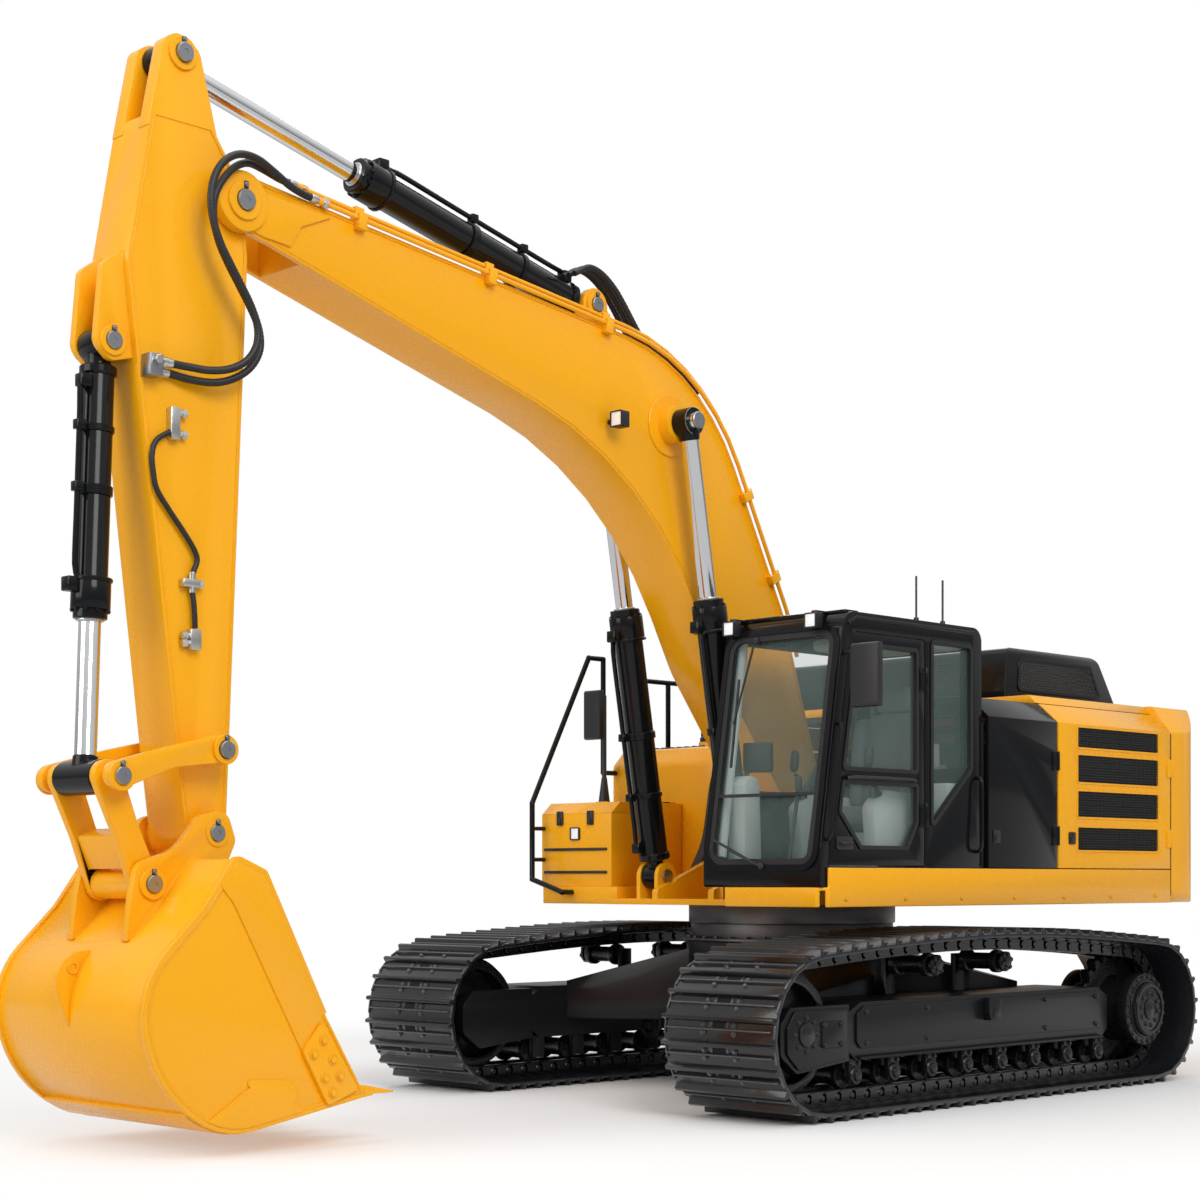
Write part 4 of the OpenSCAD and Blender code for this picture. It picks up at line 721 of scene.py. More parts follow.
def turned_points(tree, points, instance):
    """An instance on each point, turned by the point's own angles."""
    turn = joined(tree, "GeometryNodeInputNamedAttribute", {"data_type": "FLOAT_VECTOR"}, {"Name": "turn"})
    spin = joined(tree, "FunctionNodeEulerToRotation", None, {0: turn.outputs[0]})
    return joined(tree, "GeometryNodeInstanceOnPoints", None, {"Points": points, "Instance": instance,
                                                               "Rotation": spin.outputs[0]}).outputs[0]


@cache
def bolt_tree():
    """Hexagon heads on washers, one on each point."""
    tree, start, end = tree_of("bolt_heads", [("Radius", "NodeSocketFloat"), ("Height", "NodeSocketFloat"),
                                              ("Material", "NodeSocketMaterial")])
    radius, height = start.outputs["Radius"], start.outputs["Height"]
    parts = []
    for sides, wide, tall, lift in ((6, 1.0, 1.0, 0.5), (14, 1.42, 0.28, 0.14)):
        r, h, up = (joined(tree, "ShaderNodeMath", {"operation": "MULTIPLY"}, {0: size, 1: share}).outputs[0]
                    for size, share in ((radius, wide), (height, tall), (height, lift)))
        head = joined(tree, "GeometryNodeMeshCylinder", None, {"Vertices": sides, "Radius": r, "Depth": h})
        move = joined(tree, "ShaderNodeCombineXYZ", None, {2: up})
        parts.append(joined(tree, "GeometryNodeTransform", None, {"Geometry": head.outputs[0],
                                                                  "Translation": move.outputs[0]}).outputs[0])
    both = tree.nodes.new("GeometryNodeJoinGeometry")
    for part in parts:
        tree.links.new(part, both.inputs[0])
    close_tree(tree, end, turned_points(tree, start.outputs[0], both.outputs[0]), start.outputs["Material"])
    return tree


@cache
def repeat_tree():
    """Copies of one piece, one on each point."""
    tree, start, end = tree_of("repeat_piece", [("Piece", "NodeSocketObject"), ("Material", "NodeSocketMaterial")])
    source = joined(tree, "GeometryNodeObjectInfo", None, {"Object": start.outputs["Piece"]})
    close_tree(tree, end, turned_points(tree, start.outputs[0], source.outputs["Geometry"]), start.outputs["Material"])
    return tree


@cache
def mesh_tree():
    """Woven wire mesh over a rectangle."""
    tree, start, end = tree_of("wire_mesh", [("Width", "NodeSocketFloat"), ("Height", "NodeSocketFloat"),
                                             ("Across", "NodeSocketInt"), ("Up", "NodeSocketInt"),
                                             ("Wire", "NodeSocketFloat"), ("Material", "NodeSocketMaterial")])
    grid = joined(tree, "GeometryNodeMeshGrid", None, {
        "Size X": start.outputs["Width"], "Size Y": start.outputs["Height"],
        "Vertices X": start.outputs["Across"], "Vertices Y": start.outputs["Up"]})
    lines = joined(tree, "GeometryNodeMeshToCurve", None, {"Mesh": grid.outputs[0]})
    section = joined(tree, "GeometryNodeCurvePrimitiveCircle", None, {"Resolution": 4,
                                                                      "Radius": start.outputs["Wire"]})
    wires = joined(tree, "GeometryNodeCurveToMesh", None, {"Curve": lines.outputs[0],
                                                           "Profile Curve": section.outputs[0], "Fill Caps": True})
    close_tree(tree, end, wires.outputs[0], start.outputs["Material"])
    return tree


def grown(name, points, turns, tree, values, body, slot, finish, smooth=30):
    """Runs a tree on points with turns and keeps the result as a plain piece."""
    mesh = bpy.data.meshes.new(name)
    mesh.from_pydata([tuple(p) for p in points], [], [])
    turn = mesh.attributes.new("turn", "FLOAT_VECTOR", "POINT")
    for item, value in zip(turn.data, turns):
        item.vector = value
    piece = linked(name, mesh)
    modifier = piece.modifiers.new(name, "NODES")
    modifier.node_group = tree
    values = {**values, "Material": finish_of(finish)}
    for item in tree.interface.items_tree:
        if item.in_out == "INPUT" and item.name in values:
            modifier[item.identifier] = values[item.name]
    plain_mesh(piece)
    smooth_by_angle(piece.data, smooth)
    return settled(piece, body, slot, finish)


def bolts(name, spots, body, slot, finish="pin", radius=None, height=None):
    """Hexagon heads at (point, outward direction) spots."""
    radius = radius or settings().sizes.bolt
    turns = [Vector(n).to_track_quat("Z", "Y").to_euler() for _, n in spots]
    return grown(name, [p for p, _ in spots], turns, bolt_tree(),
                 {"Radius": radius, "Height": height or radius * 0.8}, body, slot, finish)


def repeats(name, draw, spots, body, slot, finish):
    """Copies of what draw adds to a Piece, at (point, turn) spots."""
    part = Piece("pattern", None, None, None)
    draw(part)
    pattern = part.loose()
    piece = grown(name, [p for p, _ in spots], [t for _, t in spots], repeat_tree(), {"Piece": pattern}, body, slot,
                  finish)
    old = pattern.data
    bpy.data.objects.remove(pattern)
    bpy.data.meshes.remove(old)
    return piece


def wire_mesh(name, place, width, height, body, slot, finish="mesh"):
    """Mesh panel; place puts the flat X-Y panel on the machine."""
    sizes = settings().sizes
    piece = grown(name, [(0, 0, 0)], [(0, 0, 0)], mesh_tree(), {
        "Width": width, "Height": height, "Across": round(width / sizes.mesh_pitch) + 1,
        "Up": round(height / sizes.mesh_pitch) + 1, "Wire": sizes.wire}, body, slot, finish)
    piece.data.transform(place)
    return piece


def ring_of(p, axis, r, count):
    """Points of a bolt circle with their outward direction."""
    axis, side, other = axes(axis)
    return [(Vector(p) + about(side, other, i, count) * r, axis) for i in range(count)]


def other_side(spots):
    """The same spots on the machine's other side."""
    return [(Vector((p[0], -p[1], p[2])), Vector((n[0], -n[1], n[2]))) for p, n in spots]


def upright(x, y, z):
    """Places a flat X-Y panel upright at a point, with its normal along +Y."""
    return (Matrix.Translation((x, y, z)) @ Matrix.Rotation(-math.pi / 2, 4, "X")
            @ Matrix.Rotation(math.pi, 4, "Z"))


def weld_bead(name, body, corners, y, depth, r):
    """Bead just inside an outline, on both side faces."""
    bead = Piece(name, body, "yellow_paint", "yellow", smooth=60)
    bead.tube([Vector((p.x, y, p.y)) for p in rounded(inset(corners, depth))], r, 6, closed=True)
    bead.mirrored().done()


def lamp_set(lens_name, bezel_name, body, spots, half):
    """Square lamps that face forward: their lenses and their bezels."""
    lenses, bezels = Piece(lens_name, body, "glass", "lens"), Piece(bezel_name, body, "lamp_black", "plastic")
    square = [(-half, -half, 0.012), (half, -half, 0.012), (half, half, 0.012), (-half, half, 0.012)]
    for spot in spots:
        def place(a, t, c, mid=Vector(spot)):
            return mid + Vector((t, a, c))
        bezels.band(square, 0, 0.008, -0.004, 0.012, place)
        lenses.prism(rounded(inset(square, 0.007)), -0.002, 0.007, 0.003, place)
    lenses.done()
    bezels.done()


# Operators: one for each group of pieces

# Camera as fitted to the photo
CAMERA = {"sensor_width": 36.0, "lens": 65.93, "shift_x": 0.0363, "shift_y": 0.2331, "clip_end": 200.0}
CAMERA_EYE = (11.908, 9.790, 1.417)
CAMERA_WAY = Vector((-0.7005, -0.7136, 0))
# Lamps: (name, place, aim, size, full power)
LAMPS = (("key_lamp", (9, 16, 13), (1, 0, 2.2), 9, 3300), ("fill_lamp", (17, -3, 8), (2, 0, 2.2), 9, 1500),
         ("back_lamp", (-13, -10, 12), (0, 0, 2.5), 9, 1100), ("top_lamp", (2, 2, 17), (1, 0, 2), 12, 900))
FLOOR_HALF = 60
FLOOR_MIRRORED = 0.65       # brightness of the floor in mirrored light
WHITE = (1, 1, 1, 1)


def aimed(name, data, spot, way):
    """Camera or lamp at a spot, looking along way."""
    made = linked(name, data)
    made.location = spot
    made.rotation_euler = way.to_track_quat("-Z", "Y").to_euler()
    return made


class EXCAVATOR_OT_studio(bpy.types.Operator):
    """Pale floor, soft lamps and the camera"""

    bl_idname = "excavator.studio"
    bl_label = "Studio"

    def execute(self, context):
        studio = settings().studio
        scene = context.scene
        scene.view_settings.view_transform = "Standard"
        camera = bpy.data.cameras.new("camera")
        for key, value in CAMERA.items():
            setattr(camera, key, value)
        scene.camera = aimed("camera", camera, CAMERA_EYE, CAMERA_WAY)

        floor = Piece("studio_floor", None, None, None)
        floor.block((-FLOOR_HALF, -FLOOR_HALF, -0.05), (FLOOR_HALF, FLOOR_HALF, 0.0), edge=0)
        ground = floor.loose()
        sheet, place = new_sheet("floor_paper")
        tone = sheet.blend(sheet.noise(place, 0.4) * 0.05, rgba(studio.floor), (0.8, 0.8, 0.8, 1.0))
        paper = sheet.node("ShaderNodeBsdfDiffuse", None, {"Color": tone}).out(0)
        glow = straight(sheet.node("ShaderNodeLightPath")) * (1 - FLOOR_MIRRORED) + FLOOR_MIRRORED
        white = sheet.node("ShaderNodeEmission", None, {"Color": WHITE, "Strength": glow}).out(0)
        away = sheet.node("ShaderNodeVectorMath", {"operation": "LENGTH"}, [place]).out("Value")
        fade = sheet.node("ShaderNodeMapRange", {"interpolation_type": "SMOOTHSTEP"}, {
            "Value": away, "From Min": studio.fade * 0.3, "From Max": studio.fade}).out(0)
        ground.data.materials.append(sheet.close(sheet.node("ShaderNodeMixShader", None, [fade, paper, white]).out(0)))

        # White where the camera looks straight or through glass; mirrored light fades towards the ground
        sky = ShaderSheet(bpy.data.worlds.new("studio"))
        scene.world = sky.owner
        path = sky.node("ShaderNodeLightPath")
        height = sky.node("ShaderNodeSeparateXYZ", None, [sky.node("ShaderNodeTexCoord").out("Generated")]).out(2)
        mirrored = sky.node("ShaderNodeMapRange", None, {
            "Value": height, "From Min": -0.1, "From Max": 0.75, "To Min": 0.12, "To Max": 1.0}).out(0)
        glossy = sky.node("ShaderNodeMapRange", None, {
            "Value": path.out("Is Glossy Ray"), "To Min": studio.ambient, "To Max": mirrored}).out(0)
        strength = sky.node("ShaderNodeMapRange", None, {
            "Value": straight(path), "To Min": glossy, "To Max": 1.0}).out(0)
        backdrop = sky.node("ShaderNodeBackground", None, {"Color": WHITE, "Strength": strength}).out(0)
        sky.close(backdrop, "ShaderNodeOutputWorld")

        for name, spot, aim, size, power in LAMPS:
            lamp = bpy.data.lights.new(name, "AREA")
            lamp.size = size
            lamp.energy = power * studio.power
            aimed(name, lamp, spot, Vector(aim) - Vector(spot))
        return {"FINISHED"}


class EXCAVATOR_OT_hoses(bpy.types.Operator):
    """Two free hoses between the boom's nose and the stick"""

    bl_idname = "excavator.hoses"
    bl_label = "Hoses"

    def execute(self, context):
        diameter = settings().sizes.hose
        for name, route in (("hose_near", NEAR_HOSE), ("hose_far", FAR_HOSE)):
            path = spline(route, 0.006)
            hose = Piece(name + "_dressed", None, "hose_rubber", "rubber", smooth=60)
            hose.tube(path, ribbed(diameter / 2), 12)
            piece = hose.done(name)
            length = sum((b - a).length for a, b in zip(path, path[1:]))
            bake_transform(piece)
            [tuple(p) for p in path]
        return {"FINISHED"}


PLAIN_FINISH = {
    "yellow_paint": "yellow", "black_paint": "black", "frame_black": "chassis", "track_steel": "track",
    "roller_steel": "roller", "ring_steel": "ring", "cast_yellow": "cast_yellow", "engine_alloy": "alloy",
    "cab_trim": "trim", "lamp_black": "plastic", "glass": "glass", "pin_steel": "pin", "chrome": "chrome",
    "rail_black": "black", "hose_rubber": "rubber",
}
LEFT_AS_IS = ("hose_near", "hose_far", "cab_interior")
FINE_EDGES = {"cab_glass": 0.0, "cab_door_glass": 0.0, "chrome": 0.003, "pin_steel": 0.004}


class EXCAVATOR_OT_bodywork(bpy.types.Operator):
    """Every main solid with softened plate edges and its finish"""

    bl_idname = "excavator.bodywork"
    bl_label = "Bodywork"

    def execute(self, context):
        for node, slot in NODE_SLOT.items():
            if node in LEFT_AS_IS:
                continue
            edge = FINE_EDGES.get(node, FINE_EDGES.get(slot))
            softened(node, PLAIN_FINISH[slot], edge)
        return {"FINISHED"}


RAIL_H = 0.09
LINK_FACES = (0.14, -0.152)
ROLLER_Z = 0.2356
FRAME_HALF = 1.44


def loop_point(share):
    """Point (x, z) of the track's loop at a share of its length."""
    turn, r = math.pi * LINK_R, LINK_R
    d = share % 1.0 * 2 * (WHEELBASE + turn)
    if d < WHEELBASE:
        return Vector((d - WHEELBASE / 2, TRACK_R - r))
    if d < WHEELBASE + turn:
        a = (d - WHEELBASE) / LINK_R - math.pi / 2
        return Vector((WHEELBASE / 2 + r * math.cos(a), TRACK_R + r * math.sin(a)))
    if d < 2 * WHEELBASE + turn:
        u = (d - WHEELBASE - turn) / WHEELBASE
        return Vector((WHEELBASE / 2 - u * WHEELBASE, TRACK_R + r + TOP_RISE * math.sin(math.pi * u)))
    a = (d - 2 * WHEELBASE - turn) / LINK_R + math.pi / 2
    return Vector((r * math.cos(a) - WHEELBASE / 2, TRACK_R + r * math.sin(a)))


class EXCAVATOR_OT_tracks(bpy.types.Operator):
    """Bars, hole lips and bolts of the shoes in a lighter black as painted highlight, dark plates as painted shade in
    their mud holes, and the chain links of both tracks
    """

    bl_idname = "excavator.tracks"
    bl_label = "Tracks"

    def execute(self, context):
        shoe_bolts, links, shoes = [], [], []
        for k in range(SHOES):
            p, q = loop_point(k / SHOES), loop_point((k + 1) / SHOES)
            u = (q - p).normalized()
            out = Vector((u.y, -u.x))
            for y in (-0.118, 0.118):
                for share in (0.14, 0.46):
                    spot = p.lerp(q, share) + out * SHOE_T
                    shoe_bolts.append((Vector((spot.x, TRACK_Y + y, spot.y)), Vector((out.x, 0, out.y))))
            shoes.append((Vector((p.x, 0, p.y)), (0, -math.atan2(u.y, u.x), 0)))
            mid = p - out * RAIL_H * 0.52
            for y in [side * TRACK_Y + face for side in (-1, 1) for face in LINK_FACES]:
                links.append((Vector((mid.x, y, mid.y)), (0, -math.atan2(u.y, u.x), 0)))
        pitch = (loop_point(1 / SHOES) - loop_point(0)).length

        def link(part):
            end, waist = 0.040, 0.027
            part.prism([(-end, -end * 0.4), (-end * 0.4, -end), (pitch * 0.35, -waist), (pitch * 0.75, -waist),
                        (pitch * 0.98, -0.020), (pitch * 0.98, 0.030), (pitch * 0.5, end), (-end * 0.4, end),
                        (-end, end * 0.4)], 0, 0.012, 0)
            part.turned((0, -0.006, 0), (0, 1, 0), [(0, 0.022), (0.021, 0.022), (0.024, 0.018)], 10)

        def bar(part):
            low, high = -(SHOE_T - 0.003), -(SHOE_T + 0.020)
            part.prism([(pitch * 0.245, low), (pitch * 0.345, low), (pitch * 0.33, high), (pitch * 0.26, high)],
                       -0.40, 0.40, 0.003)
            for y in (-0.4185, 0.4185):
                part.block((pitch * 0.04, y - 0.0065, low - 0.010), (pitch * 0.60, y + 0.0065, low), 0.003)

        # Each hole is a dark plate: painted shade for the inside of a mud hole
        def hole(part):
            face = -(SHOE_T + 0.0015)
            part.block((pitch * 0.37, -0.052, face), (pitch * 0.60, 0.052, face + 0.004), 0.001)

        def lip(part):
            face = -(SHOE_T + 0.004)
            for y in (-0.062, 0.062):
                part.block((pitch * 0.36, y - 0.010, face), (pitch * 0.61, y + 0.010, face + 0.006), 0.002)

        bars = [(Vector((spot.x, side * TRACK_Y, spot.z)), turn) for spot, turn in shoes for side in (-1, 1)]
        repeats("shoe_holes", hole, bars, "undercarriage", "track_steel", "dark")
        # Lips, bars and shoe bolts take a lighter black than the shoes: painted highlight
        repeats("shoe_hole_lips", lip, bars, "undercarriage", "track_steel", "bar")
        repeats("shoe_bars", bar, bars, "undercarriage", "track_steel", "bar")
        bolts("shoe_bolts", shoe_bolts + other_side(shoe_bolts), "undercarriage", "track_steel", "bar", 0.0135, 0.012)
        repeats("chain_links", link, links, "undercarriage", "track_steel", "track")
        return {"FINISHED"}


class EXCAVATOR_OT_running_gear(bpy.types.Operator):
    """Side panels, roller caps, drive covers and their bolts"""

    bl_idname = "excavator.running_gear"
    bl_label = "Running gear"

    def execute(self, context):
        panel = Piece("frame_panels", "undercarriage", "frame_black", "chassis")
        panel.prism(rounded([(-1.34, 0.40, 0.02), (1.33, 0.40, 0.02), (1.37, 0.44, 0.02), (1.37, 0.61, 0.03),
                             (1.30, 0.655, 0.02), (-1.30, 0.655, 0.02), (-1.34, 0.62, 0.02)]), FRAME_OUT,
                    FRAME_OUT + 0.014, 0.004)
        panel.prism([(-1.35, 0.335), (1.35, 0.335), (1.35, 0.352), (-1.35, 0.352)], FRAME_OUT - 0.004,
                    FRAME_OUT + 0.028, 0.005)
        panel.prism(rounded([(-0.055, 0.515, 0.01), (0.055, 0.515, 0.01), (0.075, 0.565, 0.01), (0.075, 0.66, 0.015),
                             (-0.055, 0.66, 0.015)]), FRAME_OUT + 0.01, FRAME_OUT + 0.075, 0.006)
        panel.block((-0.035, FRAME_OUT + 0.07, 0.53), (0.035, FRAME_OUT + 0.082, 0.60), 0.004)
        # Guard of the idler's slide, with its grease cover
        panel.prism(rounded([(1.47, 0.345, 0.02), (1.92, 0.30, 0.05), (2.03, 0.40, 0.05), (2.03, 0.55, 0.04),
                             (1.96, 0.65, 0.03), (1.47, 0.65, 0.02)]), FRAME_OUT, FRAME_OUT + 0.02, 0.006)
        panel.prism(rounded([(1.52, 0.42, 0.03), (1.72, 0.42, 0.03), (1.72, 0.58, 0.03), (1.52, 0.58, 0.03)]),
                    FRAME_OUT + 0.018, FRAME_OUT + 0.03, 0.004)
        panel.mirrored().done()

        caps = Piece("roller_caps", "undercarriage", "roller_steel", "roller")
        nuts = []
        for i in range(8):
            x = (i - 3.5) * 2 * (FRAME_HALF - 0.09) / 7
            caps.turned((x, 1.598, ROLLER_Z), (0, 1, 0), [(0, 0.056), (0.012, 0.056), (0.018, 0.05), (0.02, 0.034),
                                                          (0.032, 0.03), (0.035, 0.024)], 24)
            nuts += [(Vector((x + dx, 1.600, ROLLER_Z + 0.075)), Vector((0, 1, 0))) for dx in (-0.034, 0.034)]
        for x, z in ((0.456, 0.8775), (-0.309, 0.881)):
            caps.turned((x, 1.538, z), (0, 1, 0), [(0, 0.066), (0.02, 0.066), (0.026, 0.058), (0.028, 0.036),
                                                   (0.04, 0.034), (0.043, 0.026)], 28)
            nuts += ring_of((x, 1.564, z), (0, 1, 0), 0.048, 6)
        drive_x, idler_x = -WHEELBASE / 2, WHEELBASE / 2
        caps.turned((drive_x, 1.703, TRACK_R), (0, 1, 0), [(0, 0.075), (0.012, 0.072), (0.02, 0.06), (0.024, 0.0)], 32)
        caps.ring((drive_x, 1.703, TRACK_R), (0, 1, 0), 0.155, 0.178, 0.01)
        caps.ring((drive_x, 1.668, TRACK_R), (0, 1, 0), 0.19, 0.205, 0.012)
        caps.turned((idler_x, FRAME_OUT + 0.018, TRACK_R), (0, 1, 0),
                    [(0, 0.075), (0.014, 0.07), (0.02, 0.05), (0.024, 0.0)], 28)
        caps.mirrored().done()
        nuts += ring_of((drive_x, 1.670, TRACK_R), (0, 1, 0), 0.232, settings().sizes.drive_bolts)
        nuts += ring_of((drive_x, 1.705, TRACK_R), (0, 1, 0), 0.115, 10)
        nuts += ring_of((idler_x, FRAME_OUT + 0.02, TRACK_R), (0, 1, 0), 0.10, 8)
        nuts += [(Vector((x, FRAME_OUT + 0.03, z)), Vector((0, 1, 0))) for x in (1.54, 1.70) for z in (0.44, 0.56)]
        nuts += [(Vector((x, FRAME_OUT + 0.014, z)), Vector((0, 1, 0)))
                 for x in (-1.28, -0.66, 0.66, 1.28) for z in (0.43, 0.62)]
        bolts("frame_bolts", nuts + other_side(nuts), "undercarriage", "roller_steel", "roller", 0.013, 0.012)

        flange = Piece("slew_flange", "undercarriage", "ring_steel", "ring")
        flange.ring((0, 0, 1.002), (0, 0, 1), 0.699, 0.76, 0.018, 72)
        flange.done()
        bolts("slew_bolts", ring_of((0, 0, 1.02), (0, 0, 1), 0.728, 36), "undercarriage", "ring_steel", "ring", 0.013,
              0.014)
        return {"FINISHED"}


SCREEN = [(0.59, 1.52, 0.09), (1.41, 1.52, 0.09), (1.41, HEAD_Z, 0.09), (0.59, HEAD_Z, 0.09)]


def on_front(a, t, z):
    """Spot on the cab's front face: a across, z up, t proud of it."""
    return Vector((front_x(z) + t, a, z))


class EXCAVATOR_OT_cab(bpy.types.Operator):
    """Seals, frames, wipers, lamps, handles and mirrors of the cab"""

    bl_idname = "excavator.cab"
    bl_label = "Cab fittings"

    def execute(self, context):
        seals = Piece("pane_seals", "upper", "cab_trim", "seal")
        seals.band(SCREEN, 0.012, 0.026, -0.02, 0.008, on_front)
        seals.band(QUARTER, 0.008, 0.02, CAB_OUT - 0.03, CAB_OUT + 0.006)
        seals.band(SIDE_PANE, 0.008, 0.02, CAB_IN - 0.006, CAB_IN + 0.03)
        seals.prism([(0.61, 1.932), (1.39, 1.932), (1.39, 1.952), (0.61, 1.952)], -0.02, 0.004, 0, on_front)
        seals.done()
        door = Piece("door_seals", "cab_door_body", "cab_trim", "seal")
        for shape in (DOOR_TOP_PANE, DOOR_LOW_PANE):
            door.band(shape, 0.008, 0.018, CAB_OUT - 0.03, CAB_OUT + 0.006)
        door.done()

        frame_trim = Piece("cab_frames", "upper", "black_paint", "black")
        frame_trim.band(SCREEN, 0.048, -0.010, -0.004, 0.014, on_front)
        # Gutter round the roof, hatch and visor
        for y in (CAB_OUT - 0.004, CAB_IN + 0.004):
            frame_trim.tube([(-0.07, y, CAB_TOP - 0.035), (1.17, y, CAB_TOP - 0.035), (1.25, y, CAB_TOP - 0.075)],
                            0.014, 10)
        frame_trim.block((0.08, 0.70, CAB_TOP - 0.01), (0.86, 1.30, CAB_TOP + 0.028), 0.014)
        frame_trim.block((0.16, 0.78, CAB_TOP + 0.02), (0.78, 1.22, CAB_TOP + 0.042), 0.012)
        frame_trim.block((1.10, 0.56, CAB_TOP - 0.012), (1.235, 1.44, CAB_TOP + 0.016), 0.012)
        # Step plate under the door's sill
        frame_trim.block((0.50, CAB_OUT - 0.004, 1.372), (1.40, CAB_OUT + 0.012, 1.40), 0.004)
        frame_trim.done()

        rails = Piece("cab_rails", "upper", "rail_black", "black")
        rear_rail = ((-0.01, 1.60), (0.05, 1.625), (0.055, 1.84), (0.05, 2.055), (-0.01, 2.08))
        rails.tube(spline([(-0.085, CAB_OUT + proud, z) for proud, z in rear_rail], 0.02), 0.013, 10)
        front_rail = ((0.035, -0.01, 1.66), (0.03, 0.045, 1.69), (0.03, 0.05, 2.0), (0.03, 0.045, 2.33),
                      (0.035, -0.01, 2.36))
        rails.tube(spline([(front_x(z) - back, CAB_OUT + proud, z) for back, proud, z in front_rail], 0.02), 0.012, 10)
        rails.done()

        wipers = Piece("wipers", "upper", "lamp_black", "plastic")
        for pivot, tip, low, high in (((0.80, 2.92), (0.70, 2.40), (0.705, 2.12), (0.695, 2.68)),
                                      ((1.02, 1.50), (0.77, 1.60), (0.93, 1.535), (0.63, 1.665))):
            wipers.turned(on_front(pivot[0], -0.002, pivot[1]), (1, 0, 0),
                          [(0, 0.024), (0.03, 0.022), (0.036, 0.014)], 18)
            wipers.tube([on_front(pivot[0], 0.03, pivot[1]), on_front(tip[0], 0.034, tip[1])], 0.007, 8)
            wipers.tube([on_front(low[0], 0.022, low[1]), on_front(high[0], 0.022, high[1])], 0.009, 8)
            wipers.tube([on_front(tip[0], 0.034, tip[1]), on_front(tip[0], 0.02, tip[1])], 0.008, 8)
        wipers.done()

        handle = Piece("door_handle", "cab_door_body", "lamp_black", "plastic")
        handle.prism(rounded([(1.21, 1.60, 0.015), (1.37, 1.60, 0.015), (1.37, 1.68, 0.015), (1.21, 1.68, 0.015)]),
                     CAB_OUT - 0.004, CAB_OUT + 0.012, 0.003)
        handle.tube(spline([(1.235, CAB_OUT + 0.008, 1.64), (1.25, CAB_OUT + 0.032, 1.64),
                            (1.33, CAB_OUT + 0.032, 1.64), (1.345, CAB_OUT + 0.008, 1.64)], 0.008), 0.009, 10)
        handle.tube(spline([(0.60, CAB_OUT - 0.004, 2.03), (0.62, CAB_OUT + 0.03, 2.045), (1.22, CAB_OUT + 0.03, 2.045),
                            (1.24, CAB_OUT - 0.004, 2.03)], 0.02), 0.010, 10)
        handle.done()
        hinge_bolts = [(Vector((0.505, CAB_OUT + 0.013, z + dz)), Vector((0, 1, 0))) for z in (1.75, 2.61)
                       for dz in (0.035, 0.115)]
        bolts("door_hinge_bolts", hinge_bolts, "cab_door_body", "black_paint", "black", 0.011, 0.008)

        lamp_set("roof_lenses", "roof_bezels", "upper", [(1.372, y, 3.0058) for y in (0.62, 1.28)], 0.047)
        lamp_set("boom_lens", "boom_bezel", "boom_body", [(2.08, 0.315, 4.28)], 0.05)

        faces = Piece("mirror_faces", "upper", "lamp_black", "mirror")
        faces.block((1.466, 1.715, 2.46), (1.472, 1.885, 2.80), 0.002)
        faces.block((0.436, -1.54, 2.46), (0.442, -1.41, 2.78), 0.002)
        faces.done()
        return {"FINISHED"}


